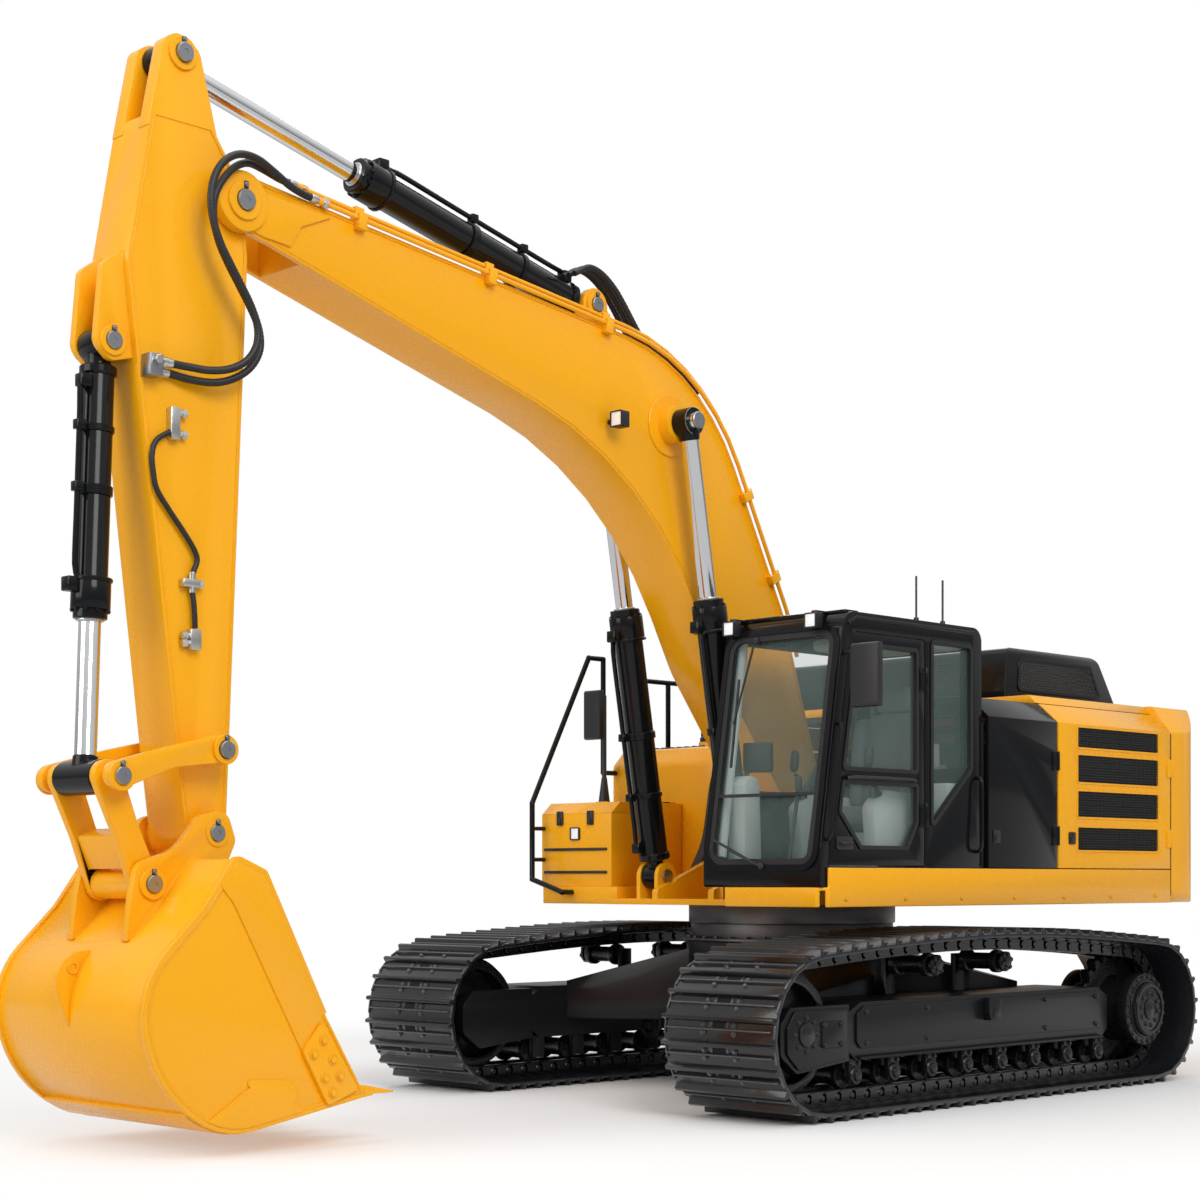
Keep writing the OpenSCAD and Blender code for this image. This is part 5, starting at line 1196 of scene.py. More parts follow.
class EXCAVATOR_OT_cab_inside(bpy.types.Operator):
    """Padded seat, consoles, levers, pedals and display in place of the plain ones"""

    bl_idname = "excavator.cab_inside"
    bl_label = "Cab inside"

    def execute(self, context):
        floor_z, seat_x, mid = 1.4253, 0.42, 1.0
        lean = Matrix.Rotation(math.radians(-7), 3, "Y")
        seat = Piece("seat_cushions", "upper", "cab_trim", "seat", smooth=60)
        seat.pad((seat_x + 0.015, mid, floor_z + 0.385), (0.275, 0.245, 0.075),
                 Matrix.Rotation(math.radians(-3), 3, "Y"))
        for side in (-1, 1):
            seat.pad((seat_x + 0.03, mid + side * 0.215, floor_z + 0.41), (0.25, 0.05, 0.06), soft=0.5)
            seat.pad((seat_x - 0.19, mid + side * 0.205, floor_z + 0.76), (0.075, 0.055, 0.30), lean, 0.5)
        seat.pad((seat_x - 0.235, mid, floor_z + 0.75), (0.06, 0.225, 0.34), lean)
        seat.pad((seat_x - 0.20, mid, floor_z + 0.56), (0.055, 0.20, 0.10), lean, 0.55)
        seat.pad((seat_x - 0.285, mid, floor_z + 1.175), (0.05, 0.135, 0.09), lean, 0.45)
        seat.done("cab_interior")
        seams = Piece("seat_seams", "upper", "cab_trim", "seal", smooth=60)
        for y in (-0.155, 0.155):
            seams.tube(spline([(seat_x - 0.2, mid + y, floor_z + 0.452), (seat_x + 0.05, mid + y, floor_z + 0.464),
                               (seat_x + 0.27, mid + y, floor_z + 0.43)], 0.03), 0.004, 6)
        for z in (0.60, 0.74, 0.88):
            seams.tube([(seat_x - 0.17 - (z - 0.6) * 0.12, mid - 0.15, floor_z + z),
                        (seat_x - 0.17 - (z - 0.6) * 0.12, mid + 0.15, floor_z + z)], 0.004, 6)
        seams.done()

        trim = Piece("cab_consoles", "upper", "cab_trim", "trim")
        for side in (-1, 1):
            y = mid + side * 0.30
            trim.prism(rounded([(seat_x - 0.2, floor_z, 0.02), (seat_x + 0.36, floor_z, 0.03),
                                (seat_x + 0.42, floor_z + 0.46, 0.08), (seat_x + 0.28, floor_z + 0.56, 0.07),
                                (seat_x - 0.2, floor_z + 0.53, 0.05)]), y - 0.05, y + 0.05, 0.016)
            trim.pad((seat_x - 0.02, y, floor_z + 0.66), (0.16, 0.04, 0.03), soft=0.45)
        trim.block((seat_x - 0.22, mid - 0.19, floor_z), (seat_x + 0.22, mid + 0.19, floor_z + 0.30), 0.03)
        trim.prism(rounded([(1.18, floor_z, 0.02), (1.36, floor_z, 0.02), (1.35, floor_z + 0.60, 0.06),
                            (1.25, floor_z + 0.72, 0.07), (1.20, floor_z + 0.58, 0.04)]), 0.59, 0.735, 0.02)
        trim.block((-0.10, 0.59, floor_z), (0.12, 1.41, floor_z + 0.62), 0.03)
        trim.block((-0.10, 0.62, HEAD_Z - 0.02), (0.55, 1.38, HEAD_Z + 0.06), 0.03)
        # Pillar covers inside the screen
        for y in (0.615, 1.385):
            trim.tube([(front_x(1.62) - 0.075, y, 1.56), (front_x(HEAD_Z) - 0.075, y, HEAD_Z)], 0.03, 10)
        trim.done()

        black = Piece("cab_controls", "upper", "cab_trim", "plastic")
        for side in (-1, 1):
            y = mid + side * 0.30
            top = Vector((seat_x + 0.40, y, floor_z + 0.76))
            black.tube(spline([(seat_x + 0.33, y, floor_z + 0.53), (seat_x + 0.36, y, floor_z + 0.62),
                               (seat_x + 0.39, y, floor_z + 0.68)], 0.02), 0.012, 10)
            black.turned((seat_x + 0.33, y, floor_z + 0.52), (0.25, 0, 1),
                         [(0, 0.045), (0.03, 0.036), (0.06, 0.02)], 20)
            black.pad(top, (0.028, 0.026, 0.075), lean, 0.7)
        # Travel levers and pedals
        for k in (-0.075, 0.075):
            black.tube(spline([(1.17, mid + k, floor_z + 0.01), (1.11, mid + k, floor_z + 0.3),
                               (1.06, mid + k, floor_z + 0.56)], 0.03), 0.013, 10)
            black.pad((1.055, mid + k, floor_z + 0.60), (0.022, 0.022, 0.055), soft=0.7)
            y = mid + k * 1.3
            black.block((1.09, y - 0.05, floor_z + 0.02), (1.27, y + 0.05, floor_z + 0.045), 0.008,
                        Matrix.Rotation(math.radians(-14), 3, "Y"))
        black.block((0.2, 0.60, floor_z), (1.42, 1.40, floor_z + 0.012), 0.004)
        # Display on the right-hand pillar, with its hood
        black.block((1.16, 0.605, 2.10), (1.215, 0.80, 2.29), 0.014, Matrix.Rotation(math.radians(18), 3, "Z"))
        black.tube([(1.22, 0.64, 2.10), (1.28, 0.63, 1.98)], 0.016, 10)
        black.done()
        screen = Piece("cab_display", "upper", "glass", "mirror")
        screen.block((1.152, 0.625, 2.12), (1.162, 0.78, 2.27), 0.003, Matrix.Rotation(math.radians(18), 3, "Z"))
        screen.done()
        return {"FINISHED"}


GRILLES = ((1.62, 0.16), (1.85, 0.18), (2.09, 0.19), (2.33, 0.14))     # (foot, height) of the louvred door's openings
GRIP_PITCH = 0.075
GRIP_MARGIN = 0.045


class EXCAVATOR_OT_house(bpy.types.Operator):
    """Grille mesh, latches, seams, treads and small fittings of the house"""

    bl_idname = "excavator.house"
    bl_label = "House fittings"

    def execute(self, context):
        # The plates behind the grille openings are near-black painted shade for the dark bay behind the door
        dark = Piece("grille_backs", "louvre_door_body", "rail_black", "dark")
        frames = Piece("grille_frames", "louvre_door_body", "yellow_paint", "yellow")
        for i, (z, h) in enumerate(GRILLES):
            wire_mesh("grille_mesh_%d" % i, upright(-1.80, HALF_W - 0.0025, z + h / 2), 1.056, h - 0.004,
                      "louvre_door_body", "rail_black")
            dark.block((-2.335, HALF_W - 0.034, z - 0.005), (-1.265, HALF_W - 0.026, z + h + 0.005), 0)
            lip = [(-2.33, z, 0.012), (-1.27, z, 0.012), (-1.27, z + h, 0.012), (-2.33, z + h, 0.012)]
            frames.band(lip, 0.012, 0.002, HALF_W - 0.01, HALF_W + 0.004)
        dark.done()
        frames.done()

        # Air box: mesh along its sides and front, ribs on its top
        tilt = math.atan2(0.05, 0.375)
        for side in (-1, 1):
            place = Matrix.Translation((-1.73, side * 1.043, 2.862)) @ Matrix.Rotation(side * tilt, 4, "X")
            panel = Matrix.Rotation(-math.pi / 2, 4, "X")
            wire_mesh("air_mesh_%s" % ("left" if side > 0 else "right"), place @ panel, 0.98, 0.20, "hood_body",
                      "rail_black", "plastic")
        ribs = Piece("air_box_ribs", "hood_body", "black_paint", "black")
        for side in (-1, 1):
            rim = [(-2.25, 2.755, 0.02), (-1.21, 2.755, 0.02), (-1.27, 2.97, 0.02), (-2.17, 2.97, 0.02)]
            ribs.band(rim, 0.014, 0.010, -0.012, 0.012,
                      lambda x, t, z, s=side: Vector((x, s * (1.06 - 0.05 * (z - 2.685) / 0.375 + t), z)))
        for k in range(5):
            y = -0.72 + 0.36 * k
            ribs.block((-2.16, y - 0.05, CAB_TOP - 0.018), (-1.26, y + 0.05, CAB_TOP - 0.001), 0.008)
        ribs.done()

        for name, body, x, side in (("door_latches", "louvre_door_body", -1.195, 1),
                                    ("access_latch", "access_door_body", -0.29, 1),
                                    ("pump_latch", "pump_door_body", -0.99, -1)):
            latch = Piece(name, body, "lamp_black", "plastic")
            low, high = sorted((side * (HALF_W - 0.002), side * (HALF_W + 0.010)))
            latch.prism(rounded([(x - 0.04, 1.66, 0.014), (x + 0.04, 1.66, 0.014), (x + 0.04, 1.745, 0.014),
                                 (x - 0.04, 1.745, 0.014)]), low, high, 0.003)
            low, high = sorted((side * (HALF_W + 0.006), side * (HALF_W + 0.018)))
            latch.block((x - 0.027, low, 1.675), (x + 0.027, high, 1.712), 0.005)
            if name == "door_latches":
                latch.turned((x, HALF_W + 0.008, 1.729), (0, 1, 0), [(0, 0.009), (0.006, 0.008)], 14)
            latch.done()
        wire_mesh("pump_mesh", upright(-1.72, -HALF_W - 0.001, 1.98), 1.0, 0.42, "pump_door_body", "rail_black")
        # Near-black plate behind the pump door's mesh: painted shade
        back = Piece("pump_mesh_back", "pump_door_body", "rail_black", "dark")
        back.block((-2.23, -HALF_W - 0.001, 1.765), (-1.21, -HALF_W + 0.004, 2.195), 0.001)
        back.done()

        # Counterweight: joint lines, towing eye cover and lamps at the rear
        weight = Piece("counterweight_lines", "upper", "rail_black", "dark")
        weight.block((-2.5145, -HALF_W - 0.001, 1.30), (-2.5085, HALF_W + 0.001, 2.48), 0.001)
        weight.block((-3.1518, -0.30, 1.55), (-3.146, 0.30, 1.80), 0.003)
        weight.done()
        lamps = Piece("rear_lenses", "upper", "glass", "red")
        covers = Piece("rear_covers", "upper", "lamp_black", "plastic")
        for side in (-1, 1):
            y = side * 0.62
            covers.block((-3.135, y - 0.085, 2.02), (-3.098, y + 0.085, 2.12), 0.012)
            lamps.block((-3.142, y - 0.07, 2.035), (-3.13, y + 0.07, 2.105), 0.008)
        covers.block((-2.98, -0.06, 2.688), (-2.88, 0.06, 2.76), 0.014)
        covers.turned((-2.985, 0, 2.725), (-1, 0, 0), [(0, 0.024), (0.012, 0.024), (0.016, 0.016)], 20)
        covers.done()
        lamps.done()

        # Tread plates with raised grips, on the tank, on the toolbox and beside the hood
        grips, plates = [], Piece("tread_plates", "upper", "rail_black", "black")
        for x0, x1, y0, y1, z in ((-0.86, 0.12, -1.40, -0.72, 2.3705), (0.30, 0.54, -1.36, -0.82, 1.9605),
                                  (-0.94, -0.24, 0.72, 1.18, 2.6305)):
            plates.block((x0, y0, z), (x1, y1, z + 0.006), 0.002)
            for i in range(int((x1 - x0) / GRIP_PITCH)):
                for j in range(int((y1 - y0) / GRIP_PITCH)):
                    x, y = x0 + GRIP_MARGIN + GRIP_PITCH * i, y0 + GRIP_MARGIN + GRIP_PITCH * j
                    grips.append((Vector((x, y, z + 0.006)), (0, 0, 0)))
        plates.done()

        def grip(part):
            part.ring((0, 0, 0), (0, 0, 1), 0.011, 0.022, 0.006, 14, 0.002)

        repeats("tread_grips", grip, grips, "upper", "rail_black", "black")

        right = Piece("right_fittings", "upper", "lamp_black", "plastic")
        right.turned((-0.2, -0.9, 2.425), (0, 0, 1),
                     [(0, 0.10), (0.03, 0.10), (0.042, 0.085), (0.05, 0.04), (0.052, 0.0)], 28)
        right.block((-0.235, -0.915, 2.47), (-0.165, -0.885, 2.495), 0.008)
        for y in (-1.28, -0.98):
            right.block((0.998, y - 0.03, 1.80), (1.014, y + 0.03, 1.90), 0.006)
            right.block((1.01, y - 0.014, 1.80), (1.022, y + 0.014, 1.85), 0.004)
        # Bumper strips on the toolbox's front
        for z in (1.46, 1.62):
            right.block((0.998, -1.44, z), (1.012, -0.82, z + 0.02), 0.005)
        right.done()
        lamp_set("front_lens", "front_bezel", "upper", [(1.002, -1.13, 1.74)], 0.045)

        # Valve stack and hoses in the bay between cab and boom, seen beside the boom's foot
        valves = Piece("valve_stack", "upper", "engine_alloy", "alloy")
        for k in range(5):
            valves.block((-0.70 + 0.07 * k, -0.14, 1.72), (-0.64 + 0.07 * k, 0.14, 1.96), 0.008)
        valves.done()

        hoses = Piece("foot_hoses", "upper", "hose_rubber", "rubber", smooth=60)
        for side in (-1, 1):
            for k in range(4):
                y = side * (0.335 + 0.042 * k)
                hoses.tube(spline([(0.68 - 0.03 * k, y, 1.372), (0.60 - 0.03 * k, y, 1.50), (0.45 - 0.02 * k, y, 1.72),
                                   (0.28, y, 2.02 + 0.05 * k), (0.06, y, 2.16 + 0.05 * k), (-0.12, y, 2.02 + 0.05 * k),
                                   (-0.2, y, 1.7), (-0.21, y, 1.40)], 0.012), ribbed(0.019, 0.94), 10)
        hoses.done()
        bowl = Piece("air_cleaner", "upper", "lamp_black", "plastic")
        bowl.turned((-0.55, -0.62, 2.372), (0, 0, 1),
                    [(0, 0.075), (0.10, 0.075), (0.105, 0.115), (0.15, 0.125), (0.24, 0.12), (0.285, 0.09),
                     (0.30, 0.03), (0.30, 0.0)], 36)
        bowl.done()

        screws = [(Vector((x, HALF_W, 1.30)), Vector((0, 1, 0))) for x in (-2.3, -1.7, -1.1, -0.5, 0.1, 0.7, 1.3)]
        screws += other_side([s for s in screws if s[0][0] < 0.9])
        bolts("skirt_bolts", screws, "upper", "yellow_paint", "yellow", 0.012, 0.008)
        top = [(Vector((-2.62, y, 2.69)), Vector((0, 0, 1))) for y in (-1.0, -0.35, 0.35, 1.0)]
        bolts("counterweight_bolts", top, "upper", "pin_steel", "pin", 0.03, 0.03)
        return {"FINISHED"}


# Pins seen from outside: (name, body, centre, height of the face on each side, radius of the pin)
PIN_FACES = (
    ("nose", "boom_body", NOSE, 0.270, 0.055), ("crowd_base", "boom_body", CROWD_BASE, 0.150, 0.046),
    ("crowd_rod", "stick_body", CROWD_ROD, 0.200, 0.050), ("curl_base", "stick_body", CURL_BASE, 0.145, 0.046),
    ("idler", "stick_body", IDLER_PIN, 0.360, 0.046), ("bucket", "stick_body", BUCKET_PIN, 0.283, 0.046),
    ("link_top", "idler_link_body", LINK_TOP, 0.357, 0.046), ("bucket_link", "bucket_body", BUCKET_LINK, 0.302, 0.046),
    ("lift_base", "upper", LIFT_BASE, 0.482, 0.046), ("lift_rod", "lift_rod_body", LIFT_ROD, 0.464, 0.055),
)


class EXCAVATOR_OT_pins(bpy.types.Operator):
    """Turned pin heads with keeper plates and bolts"""

    bl_idname = "excavator.pins"
    bl_label = "Pin heads"

    def execute(self, context):
        for name, body, p, y, r in PIN_FACES:
            head = Piece(name + "_pin_head", body, "pin_steel", "pin")
            head.turned((p.x, y - 0.004, p.y), (0, 1, 0), [(0, r * 1.02), (0.010, r * 1.02), (0.015, r * 0.92),
                                                           (0.015, r * 0.30), (0.011, r * 0.26), (0.011, 0.0)], 36)
            head.mirrored().done()
        collars = (("boom_body", NOSE, 0.245, 0.058, 0.105), ("stick_body", IDLER_PIN, 0.335, 0.05, 0.078),
                   ("bucket_body", BUCKET_PIN, 0.270, 0.048, 0.074), ("bucket_body", BUCKET_LINK, 0.280, 0.048, 0.082),
                   ("upper", LIFT_BASE, 0.470, 0.048, 0.082), ("boom_body", CROWD_BASE, 0.128, 0.048, 0.08),
                   ("stick_body", CURL_BASE, 0.125, 0.048, 0.078), ("stick_body", CROWD_ROD, 0.170, 0.052, 0.088),
                   ("idler_link_body", LINK_TOP, 0.335, 0.05, 0.078))
        for i, (body, p, y, r_in, r_out) in enumerate(collars):
            collar = Piece("pin_collar_%d" % i, body, "yellow_paint", "yellow")
            collar.ring((p.x, y - 0.002, p.y), (0, 1, 0), r_in, r_out, 0.018)
            collar.mirrored().done()
            # Keeper plate that stops the pin from turning
            keeper = Piece("pin_keeper_%d" % i, body, "pin_steel", "chassis")
            keeper.block((p.x - 0.013, y + 0.014, p.y + r_in - 0.012),
                         (p.x + 0.013, y + 0.024, p.y + r_out - 0.004), 0.003)
            keeper.mirrored().done()
            spot = [(Vector((p.x, y + 0.024, p.y + (r_in + r_out) / 2)), Vector((0, 1, 0)))]
            bolts("keeper_bolt_%d" % i, spot + other_side(spot), body, "pin_steel", "pin", 0.010, 0.010)
        return {"FINISHED"}


ROD_SEAT = 0.250            # length of the CAD rods inside their barrels
ROD_R = 0.0573              # radius of the added rod ends, just under the rods' own
EYE_BORE = 0.047
EYE_R = 0.0905
# (name, base, rod's pin, places across, barrel's radius and length, half width of the eye, rod's inner end, bodies)
CYLINDERS = (("lift", LIFT_BASE, LIFT_ROD, (-LIFT_Y, LIFT_Y), 0.095, 1.80, 0.060, 1.25,
              "lift_barrel_body", "lift_rod_body"),
             ("crowd", CROWD_BASE, CROWD_ROD, (0.0,), 0.100, 1.88, 0.070, 1.40,
              "crowd_barrel_body", "crowd_rod_body"),
             ("curl", CURL_BASE, LINK_TOP, (0.0,), 0.085, 1.42, 0.070, 0.73,
              "curl_barrel_body", "curl_rod_body"))


class EXCAVATOR_OT_cylinders(bpy.types.Operator):
    """Collars, clamp bands, wipers, feed pipes, rod ends and eye covers of the cylinders"""

    bl_idname = "excavator.cylinders"
    bl_label = "Cylinders"

    def execute(self, context):
        for name, base, pin, sides, r, length, half, tail, barrel, rod in CYLINDERS:
            u = (pin - base).normalized()
            axis = Vector((u.x, 0, u.y))
            up = Vector((-u.y, 0, u.x))
            out = -up if name == "lift" else up
            black = Piece(name + "_collars", barrel, "black_paint", "black")
            steel = Piece(name + "_wipers", barrel, "pin_steel", "fitting")
            gland = []
            for y in sides:
                def spot(d, y=y):
                    return Vector((base.x + u.x * d, y, base.y + u.y * d))
                black.ring(spot(length - 0.045), axis, 0.0585, r + 0.004, 0.055, 40, 0.006)
                black.ring(spot(length - 0.205), axis, r - 0.004, r + 0.026, 0.022, 40, 0.005)
                black.ring(spot(0.115), axis, r - 0.03, r + 0.012, 0.05, 40, 0.008)
                black.ring(spot(length * 0.52), axis, r - 0.002, r + 0.011, 0.05, 40, 0.004)
                black.ring(spot(length * 0.30), axis, r - 0.002, r + 0.009, 0.035, 40, 0.004)
                steel.ring(spot(length + 0.008), axis, 0.0578, 0.072, 0.012, 32, 0.003)
                gland += [(p, axis) for p, _ in ring_of(spot(length - 0.038), axis, r + 0.006, 10)]
                # Feed pipe along the barrel, from the base block to the gland
                side = Vector((0, 1 if y >= 0 else -1, 0))
                lift = out * (r + 0.034) + side * 0.03
                black.tube(spline([spot(0.20) + out * (r - 0.01) + side * 0.03, spot(0.22) + lift, spot(0.40) + lift,
                                   spot(length * 0.6) + lift, spot(length - 0.26) + lift,
                                   spot(length - 0.20) + out * (r + 0.015) + side * 0.03], 0.03), 0.016, 10)
                for d in (length * 0.31, length * 0.535):
                    black.block(*self.cube(spot(d) + lift, 0.026), 0.006)
                black.block(*self.cube(spot(length - 0.16) + out * (r + 0.035), 0.038), 0.008)
                black.block(*self.cube(spot(0.21) + out * (r + 0.018) + side * 0.03, 0.034), 0.008)
            black.done()
            steel.done()
            bolts(name + "_gland_bolts", gland, barrel, "black_paint", "black", 0.011, 0.014)
            eyes = Piece(name + "_eye_covers", rod, "black_paint", "black")
            # Inner end of the rod, which shows when the cylinder is run right out
            stem = Piece(name + "_rod_tail", rod, "chrome", "chrome")
            for y in sides:
                stem.turned((base.x + u.x * tail, y, base.y + u.y * tail), axis,
                            [(0, 0.0540), (0.004, ROD_R), (length - ROD_SEAT + 0.010 - tail, ROD_R)], 48)
                wide = STICK_HALF + 0.004 if name == "curl" else half + 0.001
                eyes.ring((pin.x, y - wide, pin.y), (0, 1, 0), EYE_BORE, EYE_R, 2 * wide, 40, 0.005)
                foot = Vector((pin.x - u.x * 0.118, y, pin.y - u.y * 0.118))
                eyes.turned(foot, axis, [(0, 0.0578), (0.006, 0.064), (0.05, 0.07), (0.075, 0.07)], 32)
            eyes.done()
            stem.done()
        return {"FINISHED"}

    @staticmethod
    def cube(p, half):
        """Low and high corner of a cube about p."""
        return p - Vector((half, half, half)), p + Vector((half, half, half))


STICK_LINE = [(5.292, 3.768), (5.40, 3.70), (5.429, 3.619), (5.42, 3.52), (5.398, 3.441), (5.32, 3.34), (5.242, 3.251),
              (5.17, 3.16), (5.147, 3.103), (5.165, 3.05), (5.179, 3.011)]


class EXCAVATOR_OT_arm(bpy.types.Operator):
    """Weld seams, plates, pipes, hoses and couplers of boom and stick"""

    bl_idname = "excavator.arm"
    bl_label = "Boom and stick"

    def execute(self, context):
        weld_bead("boom_welds", "boom_body", BOOM_CORNERS, BOOM_HALF, 0.020, 0.0055)
        weld_bead("stick_welds", "stick_body", STICK_CORNERS, STICK_HALF, 0.020, 0.0055)

        plates = Piece("boom_plates", "boom_body", "yellow_paint", "yellow")
        nose_plate = [(4.885, 5.165), (4.70, 5.125), (4.265, 5.085), (4.474, 4.99), (4.543, 4.868), (4.732, 4.885),
                      (4.905, 4.93)]
        plates.prism([Vector(p) for p in nose_plate], BOOM_HALF - 0.002, BOOM_HALF + 0.016, 0.005)
        plates.turned((LIFT_ROD.x, BOOM_HALF - 0.002, LIFT_ROD.y), (0, 1, 0),
                      [(0, 0.20), (0.012, 0.20), (0.016, 0.194), (0.016, 0.12)], 48)
        plates.mirrored().done()
        plates = Piece("stick_plates", "stick_body", "yellow_paint", "yellow")
        plates.turned((NOSE.x, STICK_HALF - 0.002, NOSE.y), (0, 1, 0), [(0, 0.15), (0.003, 0.15), (0.003, 0.0)], 40)
        plates.mirrored().done()

        # Line down the stick's left side with its couplers
        hose = Piece("stick_line", "stick_body", "hose_rubber", "rubber", smooth=60)
        hose.tube(spline([(x, STICK_HALF + 0.03, z) for x, z in STICK_LINE], 0.006), ribbed(0.015), 10)
        low = ((5.179, 0.03, 2.94), (5.172, 0.034, 2.88), (5.165, 0.034, 2.80), (5.16, 0.03, 2.74))
        hose.tube(spline([(x, STICK_HALF + proud, z) for x, proud, z in low], 0.006), ribbed(0.015), 10)
        hose.done()
        fittings = Piece("stick_fittings", "stick_body", "pin_steel", "fitting")
        for x, z, w, h in ((5.292, 3.80, 0.030, 0.085), (5.19, 2.975, 0.055, 0.022), (5.165, 2.68, 0.035, 0.055)):
            fittings.block((x - w, STICK_HALF - 0.002, z - h), (x + w, STICK_HALF + 0.05, z + h), 0.007)
        for x, z, d in ((5.292, 3.86, (-1, 0, 0)), (5.292, 3.75, (-1, 0, 0)), (5.19, 2.975, (-1, 0, 0)),
                        (5.165, 2.66, (1, 0, 0)), (5.165, 2.70, (1, 0, 0))):
            fittings.turned((x, STICK_HALF + 0.03, z), d, [(0, 0.016), (0.045, 0.016), (0.05, 0.022), (0.075, 0.022),
                                                           (0.08, 0.017)], 6)
        for x, z in ((5.179, 3.01), (5.179, 2.945)):
            fittings.turned((x, STICK_HALF + 0.03, z - 0.02), (0, 0, 1),
                            [(0, 0.019), (0.04, 0.019), (0.044, 0.016)], 12)
        fittings.done()
        blocks = Piece("hose_couplers", "stick_body", "pin_steel", "fitting")
        for y, z in ((0.236, 4.10), (0.20, 4.055)):
            blocks.turned((5.33, y, z), (1, 0, 0),
                          [(0, 0.022), (0.004, 0.025), (0.035, 0.025), (0.04, 0.03), (0.066, 0.03), (0.07, 0.024)], 12)
        blocks.turned((5.44, 0.258, 4.10), (0, 1, 0), [(0, 0.026), (0.03, 0.026), (0.034, 0.02)], 6)
        blocks.done()
        ends = Piece("boom_couplers", "boom_body", "pin_steel", "fitting")
        for route, nut in ((NEAR_HOSE, 0.031), (FAR_HOSE, 0.024)):
            a, b = Vector(route[0]), Vector(route[1])
            u = (b - a).normalized()
            ends.turned(a - u * 0.01, u, [(0, 0.0215), (0.004, 0.0235), (0.045, 0.0235), (0.05, 0.022)], 16)
            ends.turned(a - u * 0.075, u, [(0, nut - 0.007), (0.004, nut), (0.03, nut), (0.034, nut - 0.007)], 6)
        ends.done()

        # Hoses from the boom's pipes to the stick cylinder's base
        loops = Piece("crowd_hoses", "boom_body", "hose_rubber", "rubber", smooth=60)
        for y, off in ((0.06, 0.028), (0.11, 0.03), (0.16, 0.028)):
            top = [p for p in rounded(inset(BOOM_CORNERS, -off)) if 1.05 < p.x < 1.72 and p.y > 4.2]
            a = CROWD_BASE
            route = [(a.x + 0.22, y, a.y + 0.15), (a.x + 0.06, y, a.y + 0.215), (a.x - 0.14, y, a.y + 0.12)]
            route += [(p.x, y + 0.02, p.y) for p in top]
            loops.tube(spline(route, 0.008), ribbed(0.019), 10)
        loops.done()
        return {"FINISHED"}


TEETH = 5


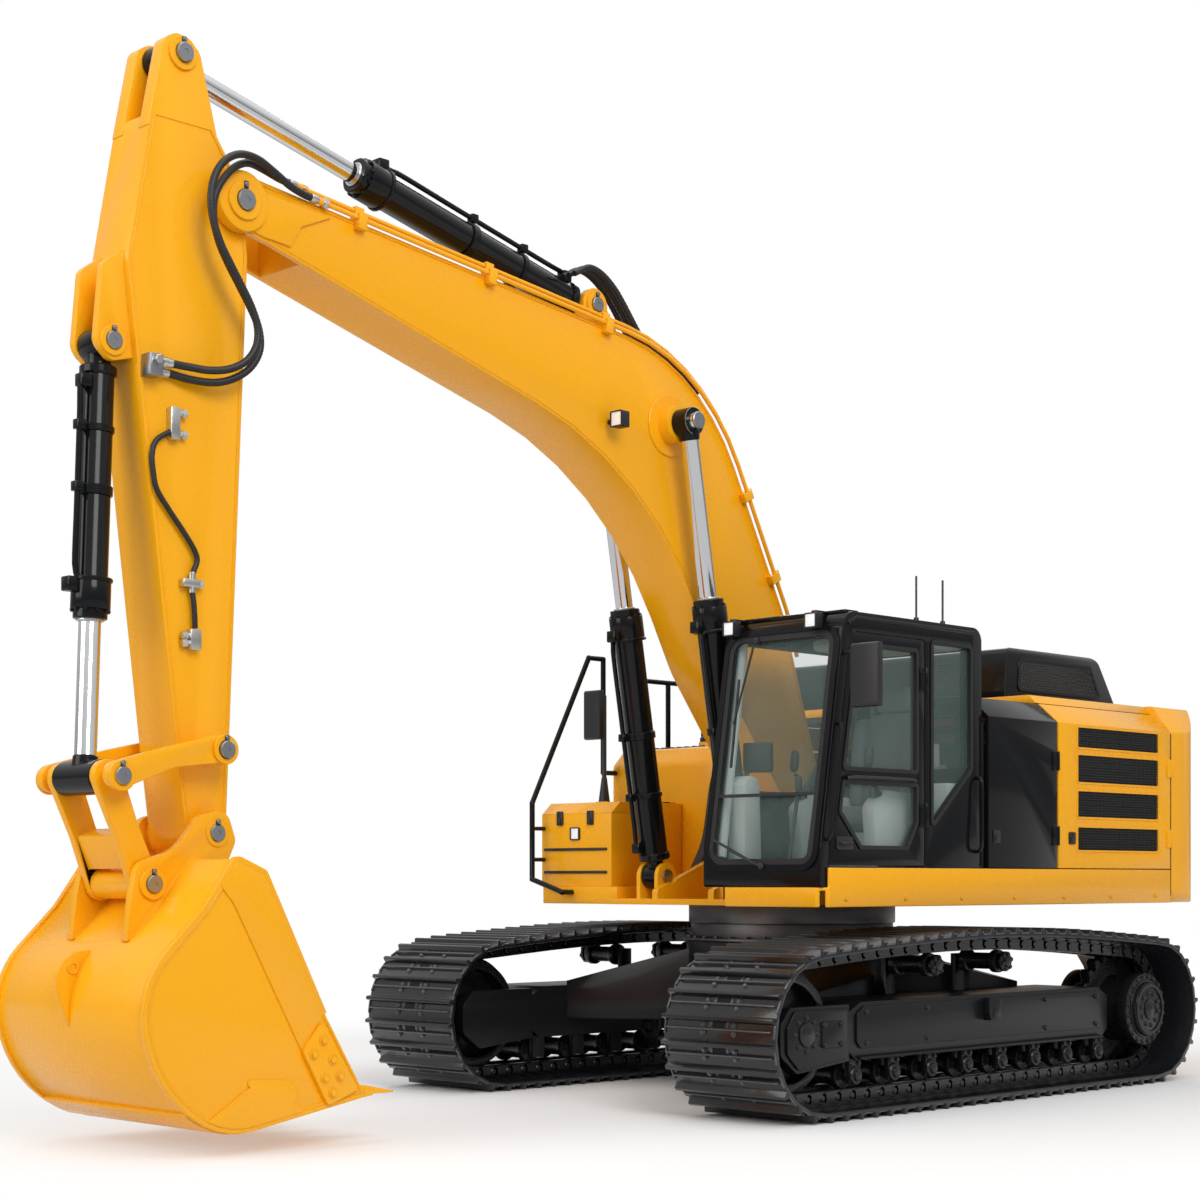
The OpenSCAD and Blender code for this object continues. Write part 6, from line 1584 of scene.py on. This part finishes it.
class EXCAVATOR_OT_bucket(bpy.types.Operator):
    """Rims, heel bars, fin, side bars, cutters, tooth adapters and welds of the bucket"""

    bl_idname = "excavator.bucket"
    bl_label = "Bucket"

    def execute(self, context):
        lip = BUCKET_PIN
        shell = rounded(BUCKET_CORNERS)

        def skin(chosen, low, high):
            """Ring of the wall between two offsets from the shell, along the chosen stretch of its outline."""
            outer, inner = rounded(inset(BUCKET_CORNERS, -high)), rounded(inset(BUCKET_CORNERS, -low))
            return [outer[i] for i in chosen] + [inner[i] for i in reversed(chosen)]

        def stretch(left, right, top):
            return [i for i, p in enumerate(shell) if left < p.x - lip.x < right and p.y - lip.y < top]

        # Side plates stand a little proud of the shell
        rims = Piece("bucket_rims", "bucket_body", "yellow_paint", "yellow")
        rims.prism(skin(stretch(-0.70, 0.80, -0.12)[:-2], -0.03, 0.012), 0.668, 0.703, 0.004)
        rims.mirrored().done()
        straps = Piece("bucket_heel_bars", "bucket_body", "yellow_paint", "yellow")
        for left, right in ((0.02, 0.24), (0.29, 0.50)):
            straps.prism(skin(stretch(left, right, -1.30), -0.004, 0.020), -0.664, 0.664, 0.006)
        straps.done()

        # Lifting fin down the middle of the back
        fin = Piece("bucket_fin", "bucket_body", "yellow_paint", "yellow")
        back = [p for p in shell if p.x - lip.x > 0.45 and -1.05 < p.y - lip.y < -0.44]
        crest = []
        for i, p in enumerate(back):
            way = (back[min(i + 1, len(back) - 1)] - back[max(i - 1, 0)]).normalized()
            rise = 0.11 * math.sin(math.pi * (i / (len(back) - 1)) ** 1.4)
            crest.append(p + Vector((way.y, -way.x)) * (rise + 0.002))
        foot = [p - (p - lip - Vector((0.1, -0.8))).normalized() * 0.012 for p in back]
        fin.prism(crest + foot[::-1], -0.014, 0.014, 0.004)
        eye = back[len(back) * 2 // 3] + Vector((0.035, 0.01))
        fin.ring((eye.x, 0.010, eye.y), (0, 1, 0), 0.020, 0.036, 0.010)
        fin.done()

        # Side bars along the mouth, wear plates at the heel and bolted cutters at the lip
        bars = Piece("bucket_side_bars", "bucket_body", "yellow_paint", "yellow")
        bars.prism(rounded([at(lip, -0.345, -0.99, 0.01), at(lip, -0.228, -1.137, 0.01), at(lip, 0.205, -0.365, 0.06),
                            at(lip, 0.285, -0.275, 0.02), at(lip, 0.172, -0.148, 0.03), at(lip, 0.008, -0.222, 0.02),
                            at(lip, -0.372, -0.951, 0.03)]), 0.698, 0.709, 0.003)
        heel = [shell[i] for i in stretch(-0.20, 0.40, -1.33)]
        bars.prism([Vector(at(lip, -0.235, -1.452)[:2]), *[p + Vector((-0.004, 0.012)) for p in heel], *rounded([
            at(lip, 0.27, -1.255, 0.02), at(lip, -0.137, -1.28, 0.03), at(lip, -0.185, -1.315, 0.03),
            at(lip, -0.215, -1.40, 0.02)])], 0.698, 0.710, 0.003)
        bars.mirrored().done()
        cutters = Piece("bucket_cutters", "bucket_body", "yellow_paint", "yellow")
        cutters.prism(rounded([at(lip, -0.60, -1.36, 0.015), at(lip, -0.39, -1.432, 0.03),
                               at(lip, -0.222, -1.137, 0.03), at(lip, -0.353, -0.985, 0.03)]), 0.698, 0.726, 0.005)
        cutters.mirrored().done()
        spots = [(Vector((lip.x + dx, 0.726, lip.y + dz)), Vector((0, 1, 0)))
                 for dx, dz in ((-0.355, -1.085), (-0.29, -1.155), (-0.415, -1.19), (-0.465, -1.28), (-0.365, -1.285),
                                (-0.415, -1.365))]
        bolts("cutter_bolts", spots + other_side(spots), "bucket_body", "yellow_paint", "yellow", 0.02, 0.018)
        adapters = Piece("tooth_adapters", "bucket_body", "yellow_paint", "yellow")
        nose = rounded([at(lip, -0.72, -1.400, 0.01), at(lip, -0.655, -1.408, 0.01), at(lip, -0.42, -1.443, 0.02),
                        at(lip, -0.42, -1.37, 0.02), at(lip, -0.60, -1.330, 0.02), at(lip, -0.73, -1.355, 0.01)])
        for i in range(TEETH):
            y = -0.63 + i * 0.315
            adapters.prism(nose, y - 0.066, y + 0.066, 0.008)
        adapters.done()
        weld_bead("bucket_welds", "bucket_body", BUCKET_CORNERS, 0.70, 0.016, 0.006)
        return {"FINISHED"}


OPERATORS = [EXCAVATOR_OT_studio, EXCAVATOR_OT_hoses, EXCAVATOR_OT_bodywork, EXCAVATOR_OT_tracks,
             EXCAVATOR_OT_running_gear, EXCAVATOR_OT_cab, EXCAVATOR_OT_cab_inside, EXCAVATOR_OT_house,
             EXCAVATOR_OT_pins, EXCAVATOR_OT_cylinders, EXCAVATOR_OT_arm, EXCAVATOR_OT_bucket]


class EXCAVATOR_PT_dressing(bpy.types.Panel):
    """Lists the steps of the dressing"""

    bl_label = "Excavator"
    bl_idname = "EXCAVATOR_PT_dressing"
    bl_space_type = "VIEW_3D"
    bl_region_type = "UI"
    bl_category = "Excavator"

    def draw(self, context):
        for group in ("paint", "sizes", "studio"):
            values = getattr(context.scene.excavator, group)
            for key in values.__annotations__:
                self.layout.prop(values, key)
        for operator in OPERATORS:
            self.layout.operator(operator.bl_idname)


CLASSES = [ExcavatorPaint, ExcavatorSizes, ExcavatorStudio, ExcavatorSettings, *OPERATORS, EXCAVATOR_PT_dressing]


def register():
    for cls in CLASSES:
        bpy.utils.register_class(cls)
    bpy.types.Scene.excavator = PointerProperty(type=ExcavatorSettings)


def unregister():
    del bpy.types.Scene.excavator
    for cls in reversed(CLASSES):
        bpy.utils.unregister_class(cls)


def main():
    register()
    for operator in OPERATORS:
        group, name = operator.bl_idname.split(".")
        getattr(getattr(bpy.ops, group), name)()


if __name__ == "__main__":
    main()
